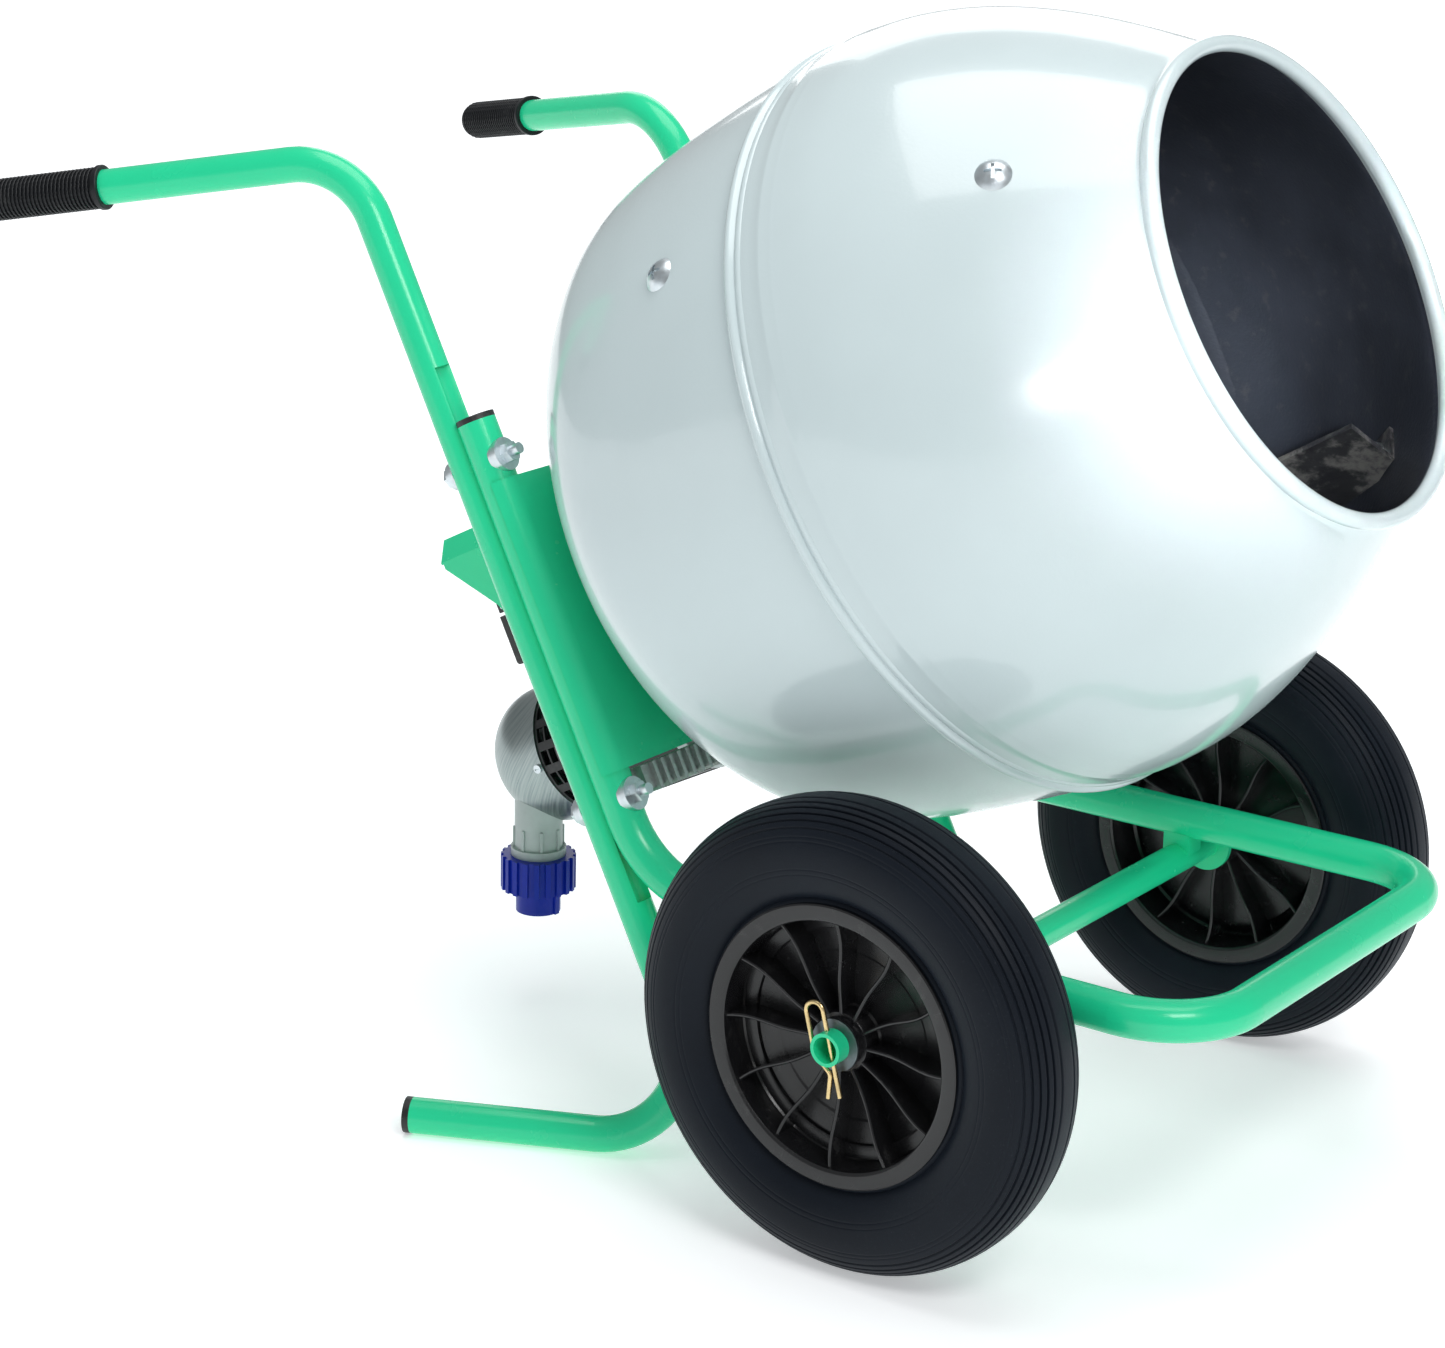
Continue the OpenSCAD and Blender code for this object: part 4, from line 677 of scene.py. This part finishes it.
# ---- Power inlet -----------------------------------------------------------------------
# A grey moulded inlet body hangs from the cover; a blue ribbed ring clamps the blue shroud
# round three brass contacts.
inlet_grey = moulded("inlet_grey", (0.40, 0.45, 0.44), 0.36, 1500, 0.00002, 0.1)
inlet_blue = moulded("inlet_blue", (0.003, 0.020, 0.33), 0.26, 1500, 0.00002, 0.03, 0.25)
contact_brass = plated("contact_brass", (0.82, 0.58, 0.26), 0.2)
finish_nodes(inlet_grey, "inlet_body")
finish_nodes(inlet_blue, "inlet_ring", "inlet_shroud")
finish_nodes(contact_brass, "inlet_pins")


# ---- Switch and rain hood --------------------------------------------------------------
# Green folded hood over a black switch block; a black flap, hinged on a zinc pin, covers
# the green start and red stop buttons.
switch_black = moulded("switch_black", (0.013, 0.013, 0.014), 0.36, 1200, 0.00004)
finish_nodes(green_coat, "rain_hood")
finish_nodes(switch_black, "switch_block", "stop_flap")
finish_nodes(bright_zinc, "flap_pin")
finish_nodes(moulded("start_green", (0.02, 0.35, 0.06), 0.3), "start_button")
finish_nodes(moulded("stop_red", (0.5, 0.01, 0.01), 0.3), "stop_button")


# ---- Floor -----------------------------------------------------------------------------
# Plain white studio paper with painted light: an emission glow, weaker round the machine and stronger
# away from it, so that it runs out to white all round.
floor_mesh = bpy.data.meshes.new("floor")
floor_reach = 14
floor_mesh.from_pydata([(x * floor_reach, y * floor_reach, 0)
                        for x, y in ((-1, -1), (1, -1), (1, 1), (-1, 1))], [], [(0, 1, 2, 3)])
floor = bpy.data.objects.new("floor", floor_mesh)
bpy.context.scene.collection.objects.link(floor)
paper = Finish("floor_paper", roughness=0.7, emission_strength=1.0)
# Painted light: the floor's emission grows with distance from the middle of the floor.
from_middle = paper.node("ShaderNodeVectorMath", {"operation": "LENGTH"}, {0: paper.where()}, 1)
paper.feed(base_color=paper.blend(paper.noise(2, 2), (0.92, 0.94, 0.95), (0.95, 0.96, 0.96)),
           emission_color=paper.blend(paper.band(from_middle, 0.9, 4.5), (0.40, 0.408, 0.415),
                                      (0.86, 0.87, 0.88)))
floor_mesh.materials.append(paper.material)
